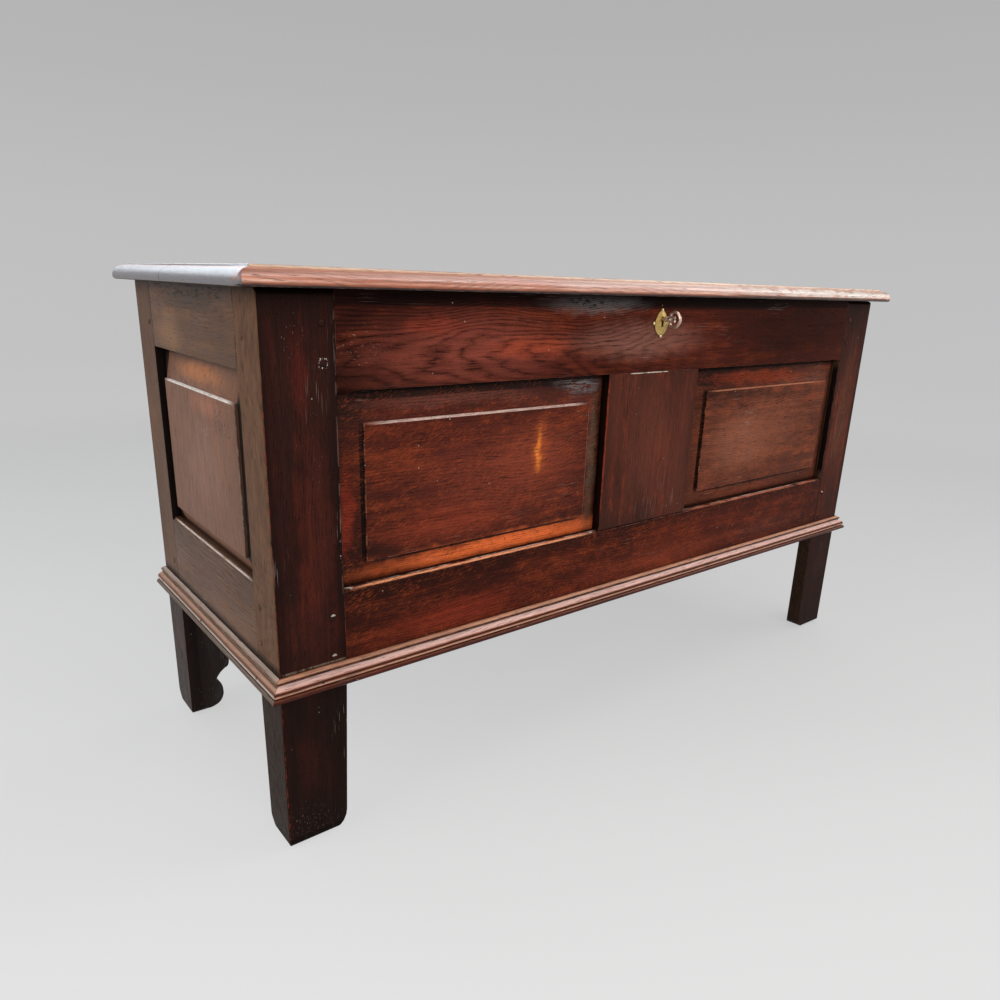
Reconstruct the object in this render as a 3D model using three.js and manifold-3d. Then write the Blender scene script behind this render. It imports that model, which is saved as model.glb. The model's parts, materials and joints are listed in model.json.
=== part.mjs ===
// An oak coffer on stile feet. Four joined frames of stiles, rails and muntins hold fielded panels,
// a mitred moulding runs round the base, and a moulded two-board lid turns on iron strap hinges.
// A box lock with a pipe key throws its bolt through a staple under the lid.
// Millimetres, +Z up, front facing -Y. The origin is on the floor under the middle of the whole.
import * as THREE from 'three';
import { mergeVertices } from 'three/addons/utils/BufferGeometryUtils.js';
import Module from 'manifold-3d';

const wasm = await Module();
wasm.setup();

// Play between pieces that touch, and how far a cutting shape runs past the wood.
const fitGap = 0.3;
const overrun = 6;
const mergeTolerance = 1e-4;

// Carcass
const carcassWidth = 1220;
const carcassDepth = 448;
const carcassHeight = 672;
const railBottom = 212;

// Stiles, which run down to make the legs
const stileWidth = 85;
const frontStileDepth = 63;
const rearStileDepth = 70;
const arrisRadius = 3;
const topWear = 7;
const legInnerFace = 24;
const legOuterStrip = 14;

// Feet: worn heel under the outer arris, round toe at the inner edge
const heelWidth = 24;
const heelRise = 6;
const toeWidth = 26;
const toeRise = 26;
const toeTaper = 6;
const soleBackRound = 17;
const soleBackRise = 11;
const soleBackTaper = 5;

// Scroll cut in the inner edge of each rear foot
const scrollToeReach = 60;
const scrollToeHeight = 14;
const scrollCuspReach = 47;
const scrollCuspHeight = 44;
const scrollLedgeReach = 72;
const scrollLedgeHeight = 55;
const scrollEdgeReach = 77;
const scrollEdgeHeight = 74;

// Panels and their grooves
const grooveWidth = 8;
const grooveDepth = 10;
const panelRecess = 14;
const backPanelRecess = 7;
const panelEdgePlay = 1.5;
const fieldSetBack = 3;
const fieldStep = 3.5;
const fieldArris = 0.8;
const backPanelThickness = 11;
const backPanelFeather = 30;

// Tenons, mortises and the pegs that lock the front joints
const tenonLength = 44;
const sideTenonLength = 36;
const mortiseEndPlay = 1.5;
const tenonHaunch = 16;
const tenonShoulder = 18;
const muntinTenonLength = 28;
const muntinShoulder = 12;
const pegRadius = 4.2;
const pegLength = 42;
const pegProud = 0.9;
const pegSetback = 15;
const pegOuterInset = 18;
const pegInnerInset = 21;

// Rails, measured up and down
const frontTopRail = 107;
const frontBottomRail = 119;
const endTopRail = 86;
const endBottomRail = 127;
const frontThickness = 28;
const endThickness = 26;
const backThickness = 24;
const frontRailBevel = 2.5;
const endRailBevel = 4.5;
const frontMuntinWidth = 200;
const backMuntinWidth = 120;
const frontFieldMargins = { top: 38, bottom: 28, side: 33 };
const endFieldMargins = { top: 41, bottom: 21, front: 28, rear: 21 };

// Floor boards, housed in the front and back bottom rails
const floorBoardCount = 5;
const floorLow = 240;
const floorThickness = 14;
const floorHousing = 8;

// Base moulding
const mouldingHeight = 28.5;
const mouldingProjection = 15.5;

// Lid
const lidThickness = 21.5;
const lidLift = 0.5;
const lidEndOverhang = 25;
const lidFrontOverhang = 25;
const lidRearOverhang = 12;
const lidEdgeWidth = 19;
const lidCornerRadius = 6;
const lidCornerLeast = 0.8;
const rearBoardWidth = 225;
const battenWidth = 46;
const battenThickness = 18;
const battenFromStile = 18;
const battenEndGap = 20;
const battenSnipe = 12;

// Strap hinges
const hingeFromEnd = 230;
const strapThickness = 3;
const strapWidth = 34;
const strapNeck = 14;
const strapBud = 13;
const lidStrapLength = 250;
const backStrapLength = 112;
const knuckleRadius = 5.5;
const knuckleLength = 16;
const hingePinRadius = 2.4;
const hingePinHead = 4;
const hingePinHeadHeight = 1.6;

// Lock, all set out from the axis of the key
const keyAxisBelowTop = 31;
const plateThickness = 2;
const plateHalfWidth = 58;
const plateBelowAxis = 42;
const flangeBelowTop = 2.4;
const caseHalfWidth = 52;
const caseBelowAxis = 34;
const caseInnerDepth = 19.4;
const caseWall = 1.5;
const keyShankRadius = 2.9;
const keyBore = 1.7;
const keyBoreLength = 24;
const keyCollarRadius = 4;
const keyCollarLength = 3;
const keyBitReach = 11;
const keyBitThickness = 3;
const keyBitLength = 8;
const keyTipBehindPlate = 14;
const keyBitFromTip = 1;
const keyWardDepth = 3.2;
const keyWardWidth = 1.8;
const keyShankAhead = 15;
const keyholeGap = 0.6;
const keyholeSlot = 4.6;
const bowLength = 22;
const bowHeight = 24;
const bowRod = 1.6;
const drillPinRadius = 1.3;
const drillPinLength = 24;
const boltHeight = 9;
const boltDepth = 6;
const boltAboveAxis = 12;
const boltTalonDrop = 5;
const boltThrow = 12;
const boltTail = 45;
const boltNose = 27;
const boltPastStaple = 4;
const talonLeft = 20;
const talonRight = 9;
const notchLeft = 14;
const notchRight = 2.4;
const ledgeThickness = 3;
const ledgeTalonGap = 0.6;
const staplePlateWidth = 34;
const staplePlateDepth = 22;
const staplePlateThickness = 2;
const stapleThickness = 5;
const stapleWall = 2.4;
const stapleEyeGap = 0.6;
const stapleSlotGap = 1.6;

// Escutcheon
const escutcheonHalfWidth = 16.5;
const escutcheonHalfHeight = 18.5;
const escutcheonBelowAxis = 6;
const escutcheonThickness = 1;
const escutcheonDome = 1.8;
const escutcheonEyeRadius = 2.6;
const escutcheonPinHead = 1.9;
const escutcheonPinRise = 1.1;
const escutcheonPinRadius = 0.8;
const escutcheonPinLength = 11;

// Facet counts
const arrisSteps = 4;
const wearSteps = 5;
const scrollSteps = 6;
const cornerSteps = 4;
const boreSides = 12;
const pegSides = 8;
const budSteps = 10;
const domeSteps = 3;
const bowSteps = 30;
const bowSides = 8;

// Sizes worked out from those above
const halfWidth = carcassWidth / 2;
const hingeSpread = halfWidth - hingeFromEnd;
const frontSpan = carcassWidth - 2 * stileWidth;
const sideSpan = carcassDepth - frontStileDepth - rearStileDepth;
const lidUnder = carcassHeight + lidLift;
const lidFront = -lidFrontOverhang;
const lidRear = carcassDepth + lidRearOverhang;
const lidSeam = lidRear - rearBoardWidth;
const lidHalfWidth = halfWidth + lidEndOverhang;
const hingeAxisY = carcassDepth + fitGap + knuckleRadius;
const hingeAxisZ = lidUnder - fitGap - knuckleRadius;
const keyAxisZ = carcassHeight - keyAxisBelowTop;
const plateFront = frontThickness + fitGap;
const plateBack = plateFront + plateThickness;
const flangeTop = carcassHeight - flangeBelowTop;
const caseFront = plateBack + fitGap;
const caseInnerBack = caseFront + caseInnerDepth;
const boltLow = keyAxisZ + boltAboveAxis;
const keyTip = plateBack + keyTipBehindPlate;
const bitBack = keyTip - keyBitFromTip;
const boltMiddle = bitBack - keyBitLength / 2 + fitGap;
const stapleFromAxis = boltNose + boltThrow - boltPastStaple - stapleThickness;
const keyReach = keyShankAhead + bowLength;
const escutcheonZ = keyAxisZ - escutcheonBelowAxis;

// The frames of the front, the ends and the back, with the opening between their rails
const frontFrame = {
  thickness: frontThickness,
  recess: panelRecess,
  bevel: frontRailBevel,
  openingLow: railBottom + frontBottomRail,
  openingHigh: carcassHeight - frontTopRail,
};
const sideFrame = {
  thickness: endThickness,
  recess: panelRecess,
  bevel: endRailBevel,
  openingLow: railBottom + endBottomRail,
  openingHigh: carcassHeight - endTopRail,
};
const backFrame = { ...sideFrame, thickness: backThickness, recess: backPanelRecess, bevel: 0 };

// Angles in degrees for quarter circles, and for the strap's bud from its neck round to its neck
const [east, north, west, south, eastAgain] = [0, 90, 180, 270, 360];
const budAngles = [-45, 225];
const quarterTurn = Math.PI / 2;

// Finishes
const polishedOak = new THREE.MeshStandardMaterial({ color: 0x4a1d12, roughness: 0.35, metalness: 0 });
const dryOak = new THREE.MeshStandardMaterial({ color: 0x6b4a30, roughness: 0.8, metalness: 0 });
const iron = new THREE.MeshStandardMaterial({ color: 0x3b3a3a, roughness: 0.55, metalness: 0.9 });
const steel = new THREE.MeshStandardMaterial({ color: 0x9a8680, roughness: 0.35, metalness: 0.95 });
const brass = new THREE.MeshStandardMaterial({ color: 0xa88a44, roughness: 0.35, metalness: 0.95 });

// Points on part of an ellipse, between two angles in degrees.
function arc(centreA, centreB, radiusA, radiusB, from, to, steps) {
  const points = [];
  for (let i = 0; i <= steps; i += 1) {
    const angle = THREE.MathUtils.degToRad(from + ((to - from) * i) / steps);
    points.push([centreA + radiusA * Math.cos(angle), centreB + radiusB * Math.sin(angle)]);
  }
  return points;
}

// Points on a curve that leaves one point for another and is drawn towards a third.
function bend(from, towards, to, steps) {
  const [a, b, c] = [from, towards, to].map(([x, y]) => new THREE.Vector2(x, y));
  return new THREE.QuadraticBezierCurve(a, b, c).getPoints(steps).map((p) => [p.x, p.y]);
}

// The closed solid that a mesh encloses.
function solidOf(geometry) {
  const bare = geometry.clone();
  bare.deleteAttribute('normal');
  bare.deleteAttribute('uv');
  const merged = mergeVertices(bare, mergeTolerance);
  const corners = Array.from(merged.index.array);
  const kept = [];
  for (let i = 0; i < corners.length; i += 3) {
    const [a, b, c] = corners.slice(i, i + 3);
    if (a !== b && b !== c && c !== a) kept.push(a, b, c);
  }
  const mesh = new wasm.Mesh({
    numProp: 3,
    vertProperties: Float32Array.from(merged.attributes.position.array),
    triVerts: Uint32Array.from(kept),
  });
  return new wasm.Manifold(mesh);
}

// The mesh of a solid.
function geometryOf(solid) {
  const mesh = solid.getMesh();
  const geometry = new THREE.BufferGeometry();
  geometry.setAttribute('position', new THREE.BufferAttribute(Float32Array.from(mesh.vertProperties), 3));
  geometry.setIndex(Array.from(mesh.triVerts));
  geometry.computeVertexNormals();
  return geometry;
}

const joined = (body, ...others) => others.reduce((sum, other) => sum.add(other), body);
const cutAway = (body, ...tools) => tools.reduce((rest, tool) => rest.subtract(tool), body);
const within = (body, ...shapes) => shapes.reduce((rest, shape) => rest.intersect(shape), body);

// Where an outline's two directions and its length point, for a prism along each axis.
const prismFrames = {
  x: [[0, 1, 0], [0, 0, 1], [1, 0, 0]],
  y: [[1, 0, 0], [0, 0, 1], [0, -1, 0]],
  z: [[1, 0, 0], [0, 1, 0], [0, 0, 1]],
};

// An outline drawn square to an axis and pushed along it from one place to another.
function prismGeometry(outline, axis, from, to) {
  const shape = new THREE.Shape(outline.map(([a, b]) => new THREE.Vector2(a, b)));
  const body = new THREE.ExtrudeGeometry(shape, { depth: to - from, bevelEnabled: false });
  body.translate(0, 0, axis === 'y' ? -to : from);
  const basis = prismFrames[axis].map((direction) => new THREE.Vector3(...direction));
  return body.applyMatrix4(new THREE.Matrix4().makeBasis(...basis));
}

const prism = (outline, axis, from, to) => solidOf(prismGeometry(outline, axis, from, to));

const grown = ([low, high], by) => [low - by, high + by];

// A squared block between two places along each axis.
function block([x0, x1], [y0, y1], [z0, z1]) {
  const body = new THREE.BoxGeometry(x1 - x0, y1 - y0, z1 - z0);
  return solidOf(body.translate((x0 + x1) / 2, (y0 + y1) / 2, (z0 + z1) / 2));
}

// A round rod or bore along an axis, centred on the two other coordinates.
function rod(axis, centreA, centreB, radius, from, to, sides = boreSides) {
  const circle = arc(centreA, centreB, radius, radius, east, eastAgain, sides).slice(1);
  return prism(circle, axis, from, to);
}

// A profile turned about Y, as radii and distances ahead of y = 0. It starts and ends on the axis.
function turned(profile, sides) {
  const points = profile.map(([radius, ahead]) => new THREE.Vector2(radius, ahead));
  return solidOf(new THREE.LatheGeometry(points, sides).rotateX(Math.PI));
}

// A closed skin over a run of outlines that have the same number of points.
function loft(rings) {
  const count = rings[0].length;
  const centres = [rings[0], rings[rings.length - 1]].map((ring) => (
    [0, 1, 2].map((k) => ring.reduce((sum, point) => sum + point[k], 0) / count)
  ));
  const positions = [...rings.flat(), ...centres].flat();
  const faces = [];
  for (let r = 0; r < rings.length - 1; r += 1) {
    for (let i = 0; i < count; i += 1) {
      const j = (i + 1) % count;
      const [a, b, c, d] = [r * count + i, r * count + j, (r + 1) * count + j, (r + 1) * count + i];
      faces.push(a, b, c, a, c, d);
    }
  }
  const last = (rings.length - 1) * count;
  for (let i = 0; i < count; i += 1) {
    const j = (i + 1) % count;
    faces.push(rings.length * count, j, i);
    faces.push(rings.length * count + 1, last + i, last + j);
  }
  const skin = new THREE.BufferGeometry();
  skin.setAttribute('position', new THREE.Float32BufferAttribute(positions, 3));
  skin.setIndex(volumeInside(positions, faces) < 0 ? faces.reverse() : faces);
  return solidOf(skin);
}

// The volume a skin encloses, which is negative where its faces point inwards.
function volumeInside(positions, faces) {
  const corner = (i) => new THREE.Vector3().fromArray(positions, faces[i] * 3);
  let volume = 0;
  for (let i = 0; i < faces.length; i += 3) {
    volume += corner(i).dot(corner(i + 1).cross(corner(i + 2))) / 6;
  }
  return volume;
}

// The same solid seen in a mirror that stands square to X or Y.
function mirrored(solid, alongX, alongY) {
  const geometry = geometryOf(solid);
  geometry.scale(alongX ? -1 : 1, alongY ? -1 : 1, 1);
  if (alongX !== alongY) geometry.setIndex(Array.from(geometry.index.array).reverse());
  return solidOf(geometry);
}

const chest = new THREE.Group();

// Adds one named piece to a group, and can place it.
function addPiece(group, name, solid, material, place = [0, 0, 0]) {
  const mesh = new THREE.Mesh(geometryOf(solid), material);
  mesh.name = name;
  mesh.position.set(...place);
  group.add(mesh);
}

// Heights of the top and bottom tenons of a frame.
function tenonHeights(frame) {
  return {
    top: [frame.openingHigh + grooveDepth, carcassHeight - tenonHaunch],
    bottom: [railBottom + tenonShoulder, frame.openingLow - grooveDepth],
  };
}

// Heights of the pegs through one frame's joints, from the top down.
function pegHeights(frame) {
  const { top, bottom } = tenonHeights(frame);
  return [top[1] - pegOuterInset, top[0] + pegInnerInset, bottom[1] - pegInnerInset,
    bottom[0] + pegOuterInset];
}

// The leg seen from the front: a is measured in from its outer face.
function legFrontOutline(innerEdge) {
  return [
    ...arc(heelWidth, heelRise, heelWidth, heelRise, west, south, wearSteps),
    ...innerEdge,
    [stileWidth, railBottom],
    [stileWidth + overrun, railBottom],
    [stileWidth + overrun, carcassHeight + overrun],
    [-overrun, carcassHeight + overrun],
    [-overrun, heelRise],
  ];
}

// The plain round toe of a front foot.
function plainToe() {
  const toe = stileWidth - toeTaper;
  return arc(toe - toeWidth, toeRise, toeWidth, toeRise, south, eastAgain, wearSteps);
}

// The scroll of a rear foot: a round toe, a cusp, a cove and a shoulder.
function scrolledToe() {
  const toe = [scrollToeReach, scrollToeHeight];
  const cusp = [scrollCuspReach, scrollCuspHeight];
  const ledge = [scrollLedgeReach, scrollLedgeHeight];
  const shoulder = [scrollEdgeReach, scrollEdgeHeight];
  return [
    ...arc(toe[0] - toe[1], toe[1], toe[1], toe[1], south, eastAgain, wearSteps),
    ...bend(toe, [toe[0], (toe[1] + 2 * cusp[1]) / 3], cusp, scrollSteps).slice(1),
    ...bend(cusp, [(2 * cusp[0] + ledge[0]) / 3, ledge[1]], ledge, scrollSteps).slice(1),
    ...bend(ledge, [shoulder[0], ledge[1]], shoulder, scrollSteps).slice(1),
  ];
}

// The leg seen from the end of the chest: b is measured in from the front or back face.
function legEndOutline(depth) {
  const foot = depth - soleBackTaper;
  return [
    ...arc(heelWidth, heelRise, heelWidth, heelRise, west, south, wearSteps),
    ...arc(foot - soleBackRound, soleBackRise, soleBackRound, soleBackRise, south, eastAgain, wearSteps),
    [depth, railBottom],
    [depth + overrun, railBottom],
    [depth + overrun, carcassHeight + overrun],
    [topWear, carcassHeight + overrun],
    ...arc(topWear, carcassHeight - topWear, topWear, topWear, north, west, wearSteps),
    [-overrun, carcassHeight - topWear],
    [-overrun, heelRise],
  ];
}

// Grooves and mortises of the rails that meet a stile. The outline runs across the groove's width.
function joinery(frame, face, length, box) {
  const across = [frame.recess, frame.recess + grooveWidth];
  const cuts = Object.values(tenonHeights(frame)).map(([low, high]) => (
    box([face - length - mortiseEndPlay, face + overrun], across, [low - fitGap, high + fitGap])
  ));
  const groove = [frame.openingLow - grooveDepth, frame.openingHigh + grooveDepth];
  cuts.push(box([face - grooveDepth, face + overrun], across, groove));
  return cuts;
}

// A stile as it stands at the front left or, in the mirror, at any other corner.
function stile(depth, faceFrame, innerEdge, pegged) {
  const section = [
    ...arc(arrisRadius, arrisRadius, arrisRadius, arrisRadius, west, south, arrisSteps),
    [stileWidth, 0],
    [stileWidth, depth],
    [0, depth],
  ];
  const shaped = within(
    prism(section, 'z', 0, carcassHeight),
    prism(legFrontOutline(innerEdge), 'y', -overrun, depth + overrun),
    prism(legEndOutline(depth), 'x', -overrun, stileWidth + overrun),
  );
  const diagonal = [
    [legOuterStrip, depth],
    [stileWidth, legInnerFace],
    [stileWidth + overrun, legInnerFace],
    [stileWidth + overrun, depth + overrun],
    [legOuterStrip, depth + overrun],
  ];
  const cuts = [
    prism(diagonal, 'z', -overrun, railBottom),
    ...joinery(faceFrame, stileWidth, tenonLength, (a, b, z) => block(a, b, z)),
    ...joinery(sideFrame, depth, sideTenonLength, (b, a, z) => block(a, b, z)),
  ];
  if (pegged) cuts.push(...pegHoles(stileWidth - pegSetback));
  return cutAway(shaped, ...cuts);
}

// Holes for the front pegs at one distance along the rail.
function pegHoles(place) {
  return pegHeights(frontFrame).map((height) => (
    rod('y', place, height, pegRadius + fitGap, -overrun, pegLength + fitGap, pegSides)
  ));
}

function addStiles() {
  const front = stile(frontStileDepth, frontFrame, plainToe(), true);
  const rear = stile(rearStileDepth, backFrame, scrolledToe(), false);
  addPiece(chest, 'front_left_stile', front, polishedOak, [-halfWidth, 0, 0]);
  addPiece(chest, 'front_right_stile', mirrored(front, true, false), polishedOak, [halfWidth, 0, 0]);
  const rearLeft = mirrored(rear, false, true);
  const rearRight = mirrored(rear, true, true);
  addPiece(chest, 'rear_left_stile', rearLeft, polishedOak, [-halfWidth, carcassDepth, 0]);
  addPiece(chest, 'rear_right_stile', rearRight, polishedOak, [halfWidth, carcassDepth, 0]);
}

// A rail along X with its outer face at y = 0, tenoned at both ends.
function rail(frame, span, isTop, length) {
  const { thickness, recess, openingLow, openingHigh, bevel } = frame;
  const inside = recess + grooveWidth;
  const outline = isTop
    ? [[0, openingHigh], [recess, openingHigh], [recess, openingHigh + grooveDepth],
      [inside, openingHigh + grooveDepth], [inside, openingHigh], [thickness, openingHigh],
      [thickness, carcassHeight], [0, carcassHeight]]
    : [[0, railBottom], [thickness, railBottom], [thickness, openingLow], [inside, openingLow],
      [inside, openingLow - grooveDepth], [recess, openingLow - grooveDepth], [recess, openingLow],
      [bevel, openingLow], ...(bevel > 0 ? [[0, openingLow - bevel]] : [])];
  const shoulder = span / 2 - fitGap;
  const tip = span / 2 + length;
  const height = tenonHeights(frame)[isTop ? 'top' : 'bottom'];
  const tenon = block([-tip, tip], [recess + fitGap, inside - fitGap], height);
  return joined(prism(outline, 'x', -shoulder, shoulder), tenon);
}

// The mortise that a muntin's tenon takes in a rail, from the opening into the wood.
function muntinMortise(frame, width, isTop) {
  const half = width / 2 - muntinShoulder + fitGap;
  const deep = muntinTenonLength + mortiseEndPlay;
  const heights = isTop
    ? [frame.openingHigh - overrun, frame.openingHigh + deep]
    : [frame.openingLow - deep, frame.openingLow + overrun];
  return block([-half, half], [frame.recess, frame.recess + grooveWidth], heights);
}

// An upright between two rails, grooved on both edges and tenoned at both ends.
function muntin(frame, width) {
  const { thickness, recess, openingLow, openingHigh } = frame;
  const half = width / 2;
  const inside = recess + grooveWidth;
  const edge = [[half, 0], [half, recess], [half - grooveDepth, recess], [half - grooveDepth, inside],
    [half, inside], [half, thickness]];
  const outline = [...edge, ...edge.map(([a, b]) => [-a, b]).reverse()];
  const body = prism(outline, 'z', openingLow + fitGap, openingHigh - fitGap);
  const tenonHalf = half - muntinShoulder;
  const heights = [openingLow - muntinTenonLength, openingHigh + muntinTenonLength];
  return joined(body, block([-tenonHalf, tenonHalf], [recess + fitGap, inside - fitGap], heights));
}

// A rectangle of four points in the plane of a frame, at one depth behind its face.
const rectangle = ([x0, x1], [z0, z1], y) => [[x0, y, z0], [x1, y, z0], [x1, y, z1], [x0, y, z1]];

// A panel whose field stands up from its bevelled border. Its edges lie in the frame's grooves.
function fieldedPanel(frame, across, margins) {
  const up = [frame.openingLow, frame.openingHigh];
  const tongue = grooveDepth - panelEdgePlay;
  const fieldAcross = [across[0] + margins.low, across[1] - margins.high];
  const fieldUp = [up[0] + margins.bottom, up[1] - margins.top];
  const front = frame.recess + fitGap;
  const back = frame.recess + grooveWidth - fitGap;
  return loft([
    rectangle(grown(across, tongue), grown(up, tongue), back),
    rectangle(grown(across, tongue), grown(up, tongue), front),
    rectangle(across, up, front),
    rectangle(fieldAcross, fieldUp, fieldSetBack + fieldStep),
    rectangle(fieldAcross, fieldUp, fieldSetBack + fieldArris),
    rectangle(grown(fieldAcross, -fieldArris), grown(fieldUp, -fieldArris), fieldSetBack),
  ]);
}

// A plain panel, flat outside and feathered inside to fit its grooves.
function plainPanel(frame, across) {
  const up = [frame.openingLow, frame.openingHigh];
  const tongue = grooveDepth - panelEdgePlay;
  const front = frame.recess + fitGap;
  const back = frame.recess + grooveWidth - fitGap;
  return loft([
    rectangle(grown(across, tongue), grown(up, tongue), front),
    rectangle(grown(across, tongue), grown(up, tongue), back),
    rectangle(across, up, back),
    rectangle(grown(across, -backPanelFeather), grown(up, -backPanelFeather), front + backPanelThickness),
  ]);
}

// A group standing on one face of the carcass: x along the face, y into the chest.
function faceGroup(x, y, turn) {
  const group = new THREE.Group();
  group.position.set(x, y, 0);
  group.rotation.z = turn;
  chest.add(group);
  return group;
}

// The keyhole: a round for the shank over a slot for the bit.
function keyhole(from, to) {
  const half = keyholeSlot / 2;
  const drop = keyAxisZ - keyBitReach - keyholeGap;
  const slot = block([-half, half], [from, to], [drop, keyAxisZ]);
  return joined(rod('y', 0, keyAxisZ, keyShankRadius + keyholeGap, from, to), slot);
}

// Where the escutcheon's four pins stand, on the points of its outline.
const escutcheonPoints = [
  [0, escutcheonZ + escutcheonHalfHeight],
  [escutcheonHalfWidth, escutcheonZ],
  [0, escutcheonZ - escutcheonHalfHeight],
  [-escutcheonHalfWidth, escutcheonZ],
];

function escutcheonPinHoles(from, to) {
  return escutcheonPoints.map(([x, z]) => rod('y', x, z, escutcheonPinRadius + fitGap, from, to, pegSides));
}

// The groove that houses the floor boards' ends in a bottom rail's inner face.
function floorGroove(frame) {
  const depths = [frame.thickness - floorHousing, frame.thickness + overrun];
  return block([-halfWidth, halfWidth], depths, grown([floorLow, floorLow + floorThickness], fitGap));
}

function addFrontFrame() {
  const face = faceGroup(0, 0, 0);
  const pegs = [1, -1].flatMap((side) => pegHoles(side * (frontSpan / 2 + pegSetback)));
  addPiece(face, 'front_top_rail', cutAway(
    rail(frontFrame, frontSpan, true, tenonLength),
    ...pegs,
    muntinMortise(frontFrame, frontMuntinWidth, true),
    keyhole(-overrun, frontFrame.thickness + overrun),
    ...escutcheonPinHoles(-overrun, escutcheonPinLength + fitGap),
  ), polishedOak);
  addPiece(face, 'front_bottom_rail', cutAway(
    rail(frontFrame, frontSpan, false, tenonLength),
    ...pegs,
    muntinMortise(frontFrame, frontMuntinWidth, false),
    floorGroove(frontFrame),
  ), polishedOak);
  addPiece(face, 'front_muntin', muntin(frontFrame, frontMuntinWidth), polishedOak);
  const { side, ...upAndDown } = frontFieldMargins;
  const margins = { ...upAndDown, low: side, high: side };
  const near = frontMuntinWidth / 2;
  const far = frontSpan / 2;
  addPiece(face, 'front_left_panel', fieldedPanel(frontFrame, [-far, -near], margins), polishedOak);
  addPiece(face, 'front_right_panel', fieldedPanel(frontFrame, [near, far], margins), polishedOak);
}

// One end of the chest. Seen from outside, the front of the left end is on the right.
function addEndFrame(name, side) {
  const middle = (frontStileDepth + carcassDepth - rearStileDepth) / 2;
  const face = faceGroup(side * halfWidth, middle, side * quarterTurn);
  const { front, rear, ...upAndDown } = endFieldMargins;
  const [low, high] = side < 0 ? [rear, front] : [front, rear];
  const margins = { ...upAndDown, low, high };
  const across = [-sideSpan / 2, sideSpan / 2];
  addPiece(face, `${name}_top_rail`, rail(sideFrame, sideSpan, true, sideTenonLength), polishedOak);
  addPiece(face, `${name}_bottom_rail`, rail(sideFrame, sideSpan, false, sideTenonLength), polishedOak);
  addPiece(face, `${name}_panel`, fieldedPanel(sideFrame, across, margins), polishedOak);
}

function addBackFrame() {
  const face = faceGroup(0, carcassDepth, 2 * quarterTurn);
  const straps = [1, -1].map((side) => block(
    grown([side * hingeSpread, side * hingeSpread], strapWidth / 2 + fitGap),
    [-overrun, backFrame.thickness + overrun],
    [lidUnder - 2 * fitGap - strapThickness, carcassHeight + overrun],
  ));
  addPiece(face, 'back_top_rail', cutAway(
    rail(backFrame, frontSpan, true, tenonLength),
    muntinMortise(backFrame, backMuntinWidth, true),
    ...straps,
  ), dryOak);
  addPiece(face, 'back_bottom_rail', cutAway(
    rail(backFrame, frontSpan, false, tenonLength),
    muntinMortise(backFrame, backMuntinWidth, false),
    floorGroove(backFrame),
  ), dryOak);
  addPiece(face, 'back_muntin', muntin(backFrame, backMuntinWidth), dryOak);
  const near = backMuntinWidth / 2;
  const far = frontSpan / 2;
  addPiece(face, 'back_left_panel', plainPanel(backFrame, [near, far]), dryOak);
  addPiece(face, 'back_right_panel', plainPanel(backFrame, [-far, -near]), dryOak);
}

// Tapered pegs with a rounded head, driven from the front through the stiles and tenons.
function addPegs() {
  const profile = [
    [0, -pegLength],
    [pegRadius / 2, -pegLength],
    [pegRadius, -pegLength / 2],
    ...arc(0, 0, pegRadius, pegProud, east, north, domeSteps),
  ];
  profile[profile.length - 1][0] = 0;
  const peg = turned(profile, pegSides);
  const places = [-1, 1].flatMap((side) => (
    pegHeights(frontFrame).map((height) => [side * (frontSpan / 2 + pegSetback), 0, height])
  ));
  places.forEach((place, i) => addPiece(chest, `front_peg_${i + 1}`, peg, polishedOak, place));
}

// Floor boards run from front to back. The end ones are notched round the stiles.
function addFloor() {
  const half = halfWidth - sideFrame.thickness - fitGap;
  const pitch = (2 * half + fitGap) / floorBoardCount;
  const heights = [floorLow, floorLow + floorThickness];
  const front = frontFrame.thickness - floorHousing + fitGap;
  const rear = carcassDepth - backFrame.thickness + floorHousing - fitGap;
  const inner = frontSpan / 2 - fitGap;
  const ends = [[-halfWidth, -inner], [inner, halfWidth]];
  const corners = ends.flatMap((wide) => [
    [-overrun, frontStileDepth + fitGap],
    [carcassDepth - rearStileDepth - fitGap, carcassDepth + overrun],
  ].map((depths) => block(wide, depths, heights)));
  for (let i = 0; i < floorBoardCount; i += 1) {
    const left = -half + i * pitch;
    const board = block([left, left + pitch - fitGap], [front, rear], heights);
    addPiece(chest, `floor_board_${i + 1}`, cutAway(board, ...corners), dryOak);
  }
}

// Base moulding, as shares of its projection and height from its bottom back corner: a sloped top
// and fillet, a quirk, an ovolo, a second quirk and a bead.
const mouldingTopShares = [[0, 1], [0.38, 0.93], [0.44, 0.9], [0.45, 0.83], [0.34, 0.77], [0.35, 0.7]];
const mouldingOvoloShares = { from: [0.44, 0.69], towards: [0.9, 0.62], to: [0.83, 0.37] };
const mouldingQuirkShares = [[0.72, 0.35], [0.72, 0.32]];
const mouldingBeadShares = { centre: [0.84, 0.2], radius: [0.16, 0.11] };
const mouldingFootShares = [[0.66, 0.08], [0.62, 0]];

function mouldingProfile() {
  const { from, towards, to } = mouldingOvoloShares;
  const { centre, radius } = mouldingBeadShares;
  const shares = [
    ...mouldingTopShares,
    ...bend(from, towards, to, scrollSteps),
    ...mouldingQuirkShares,
    ...arc(...centre, ...radius, north, -north, scrollSteps),
    ...mouldingFootShares,
    [0, 0],
  ];
  return shares.map(([out, up]) => [
    -Math.max(out * mouldingProjection, fitGap),
    railBottom + up * mouldingHeight,
  ]);
}

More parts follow.
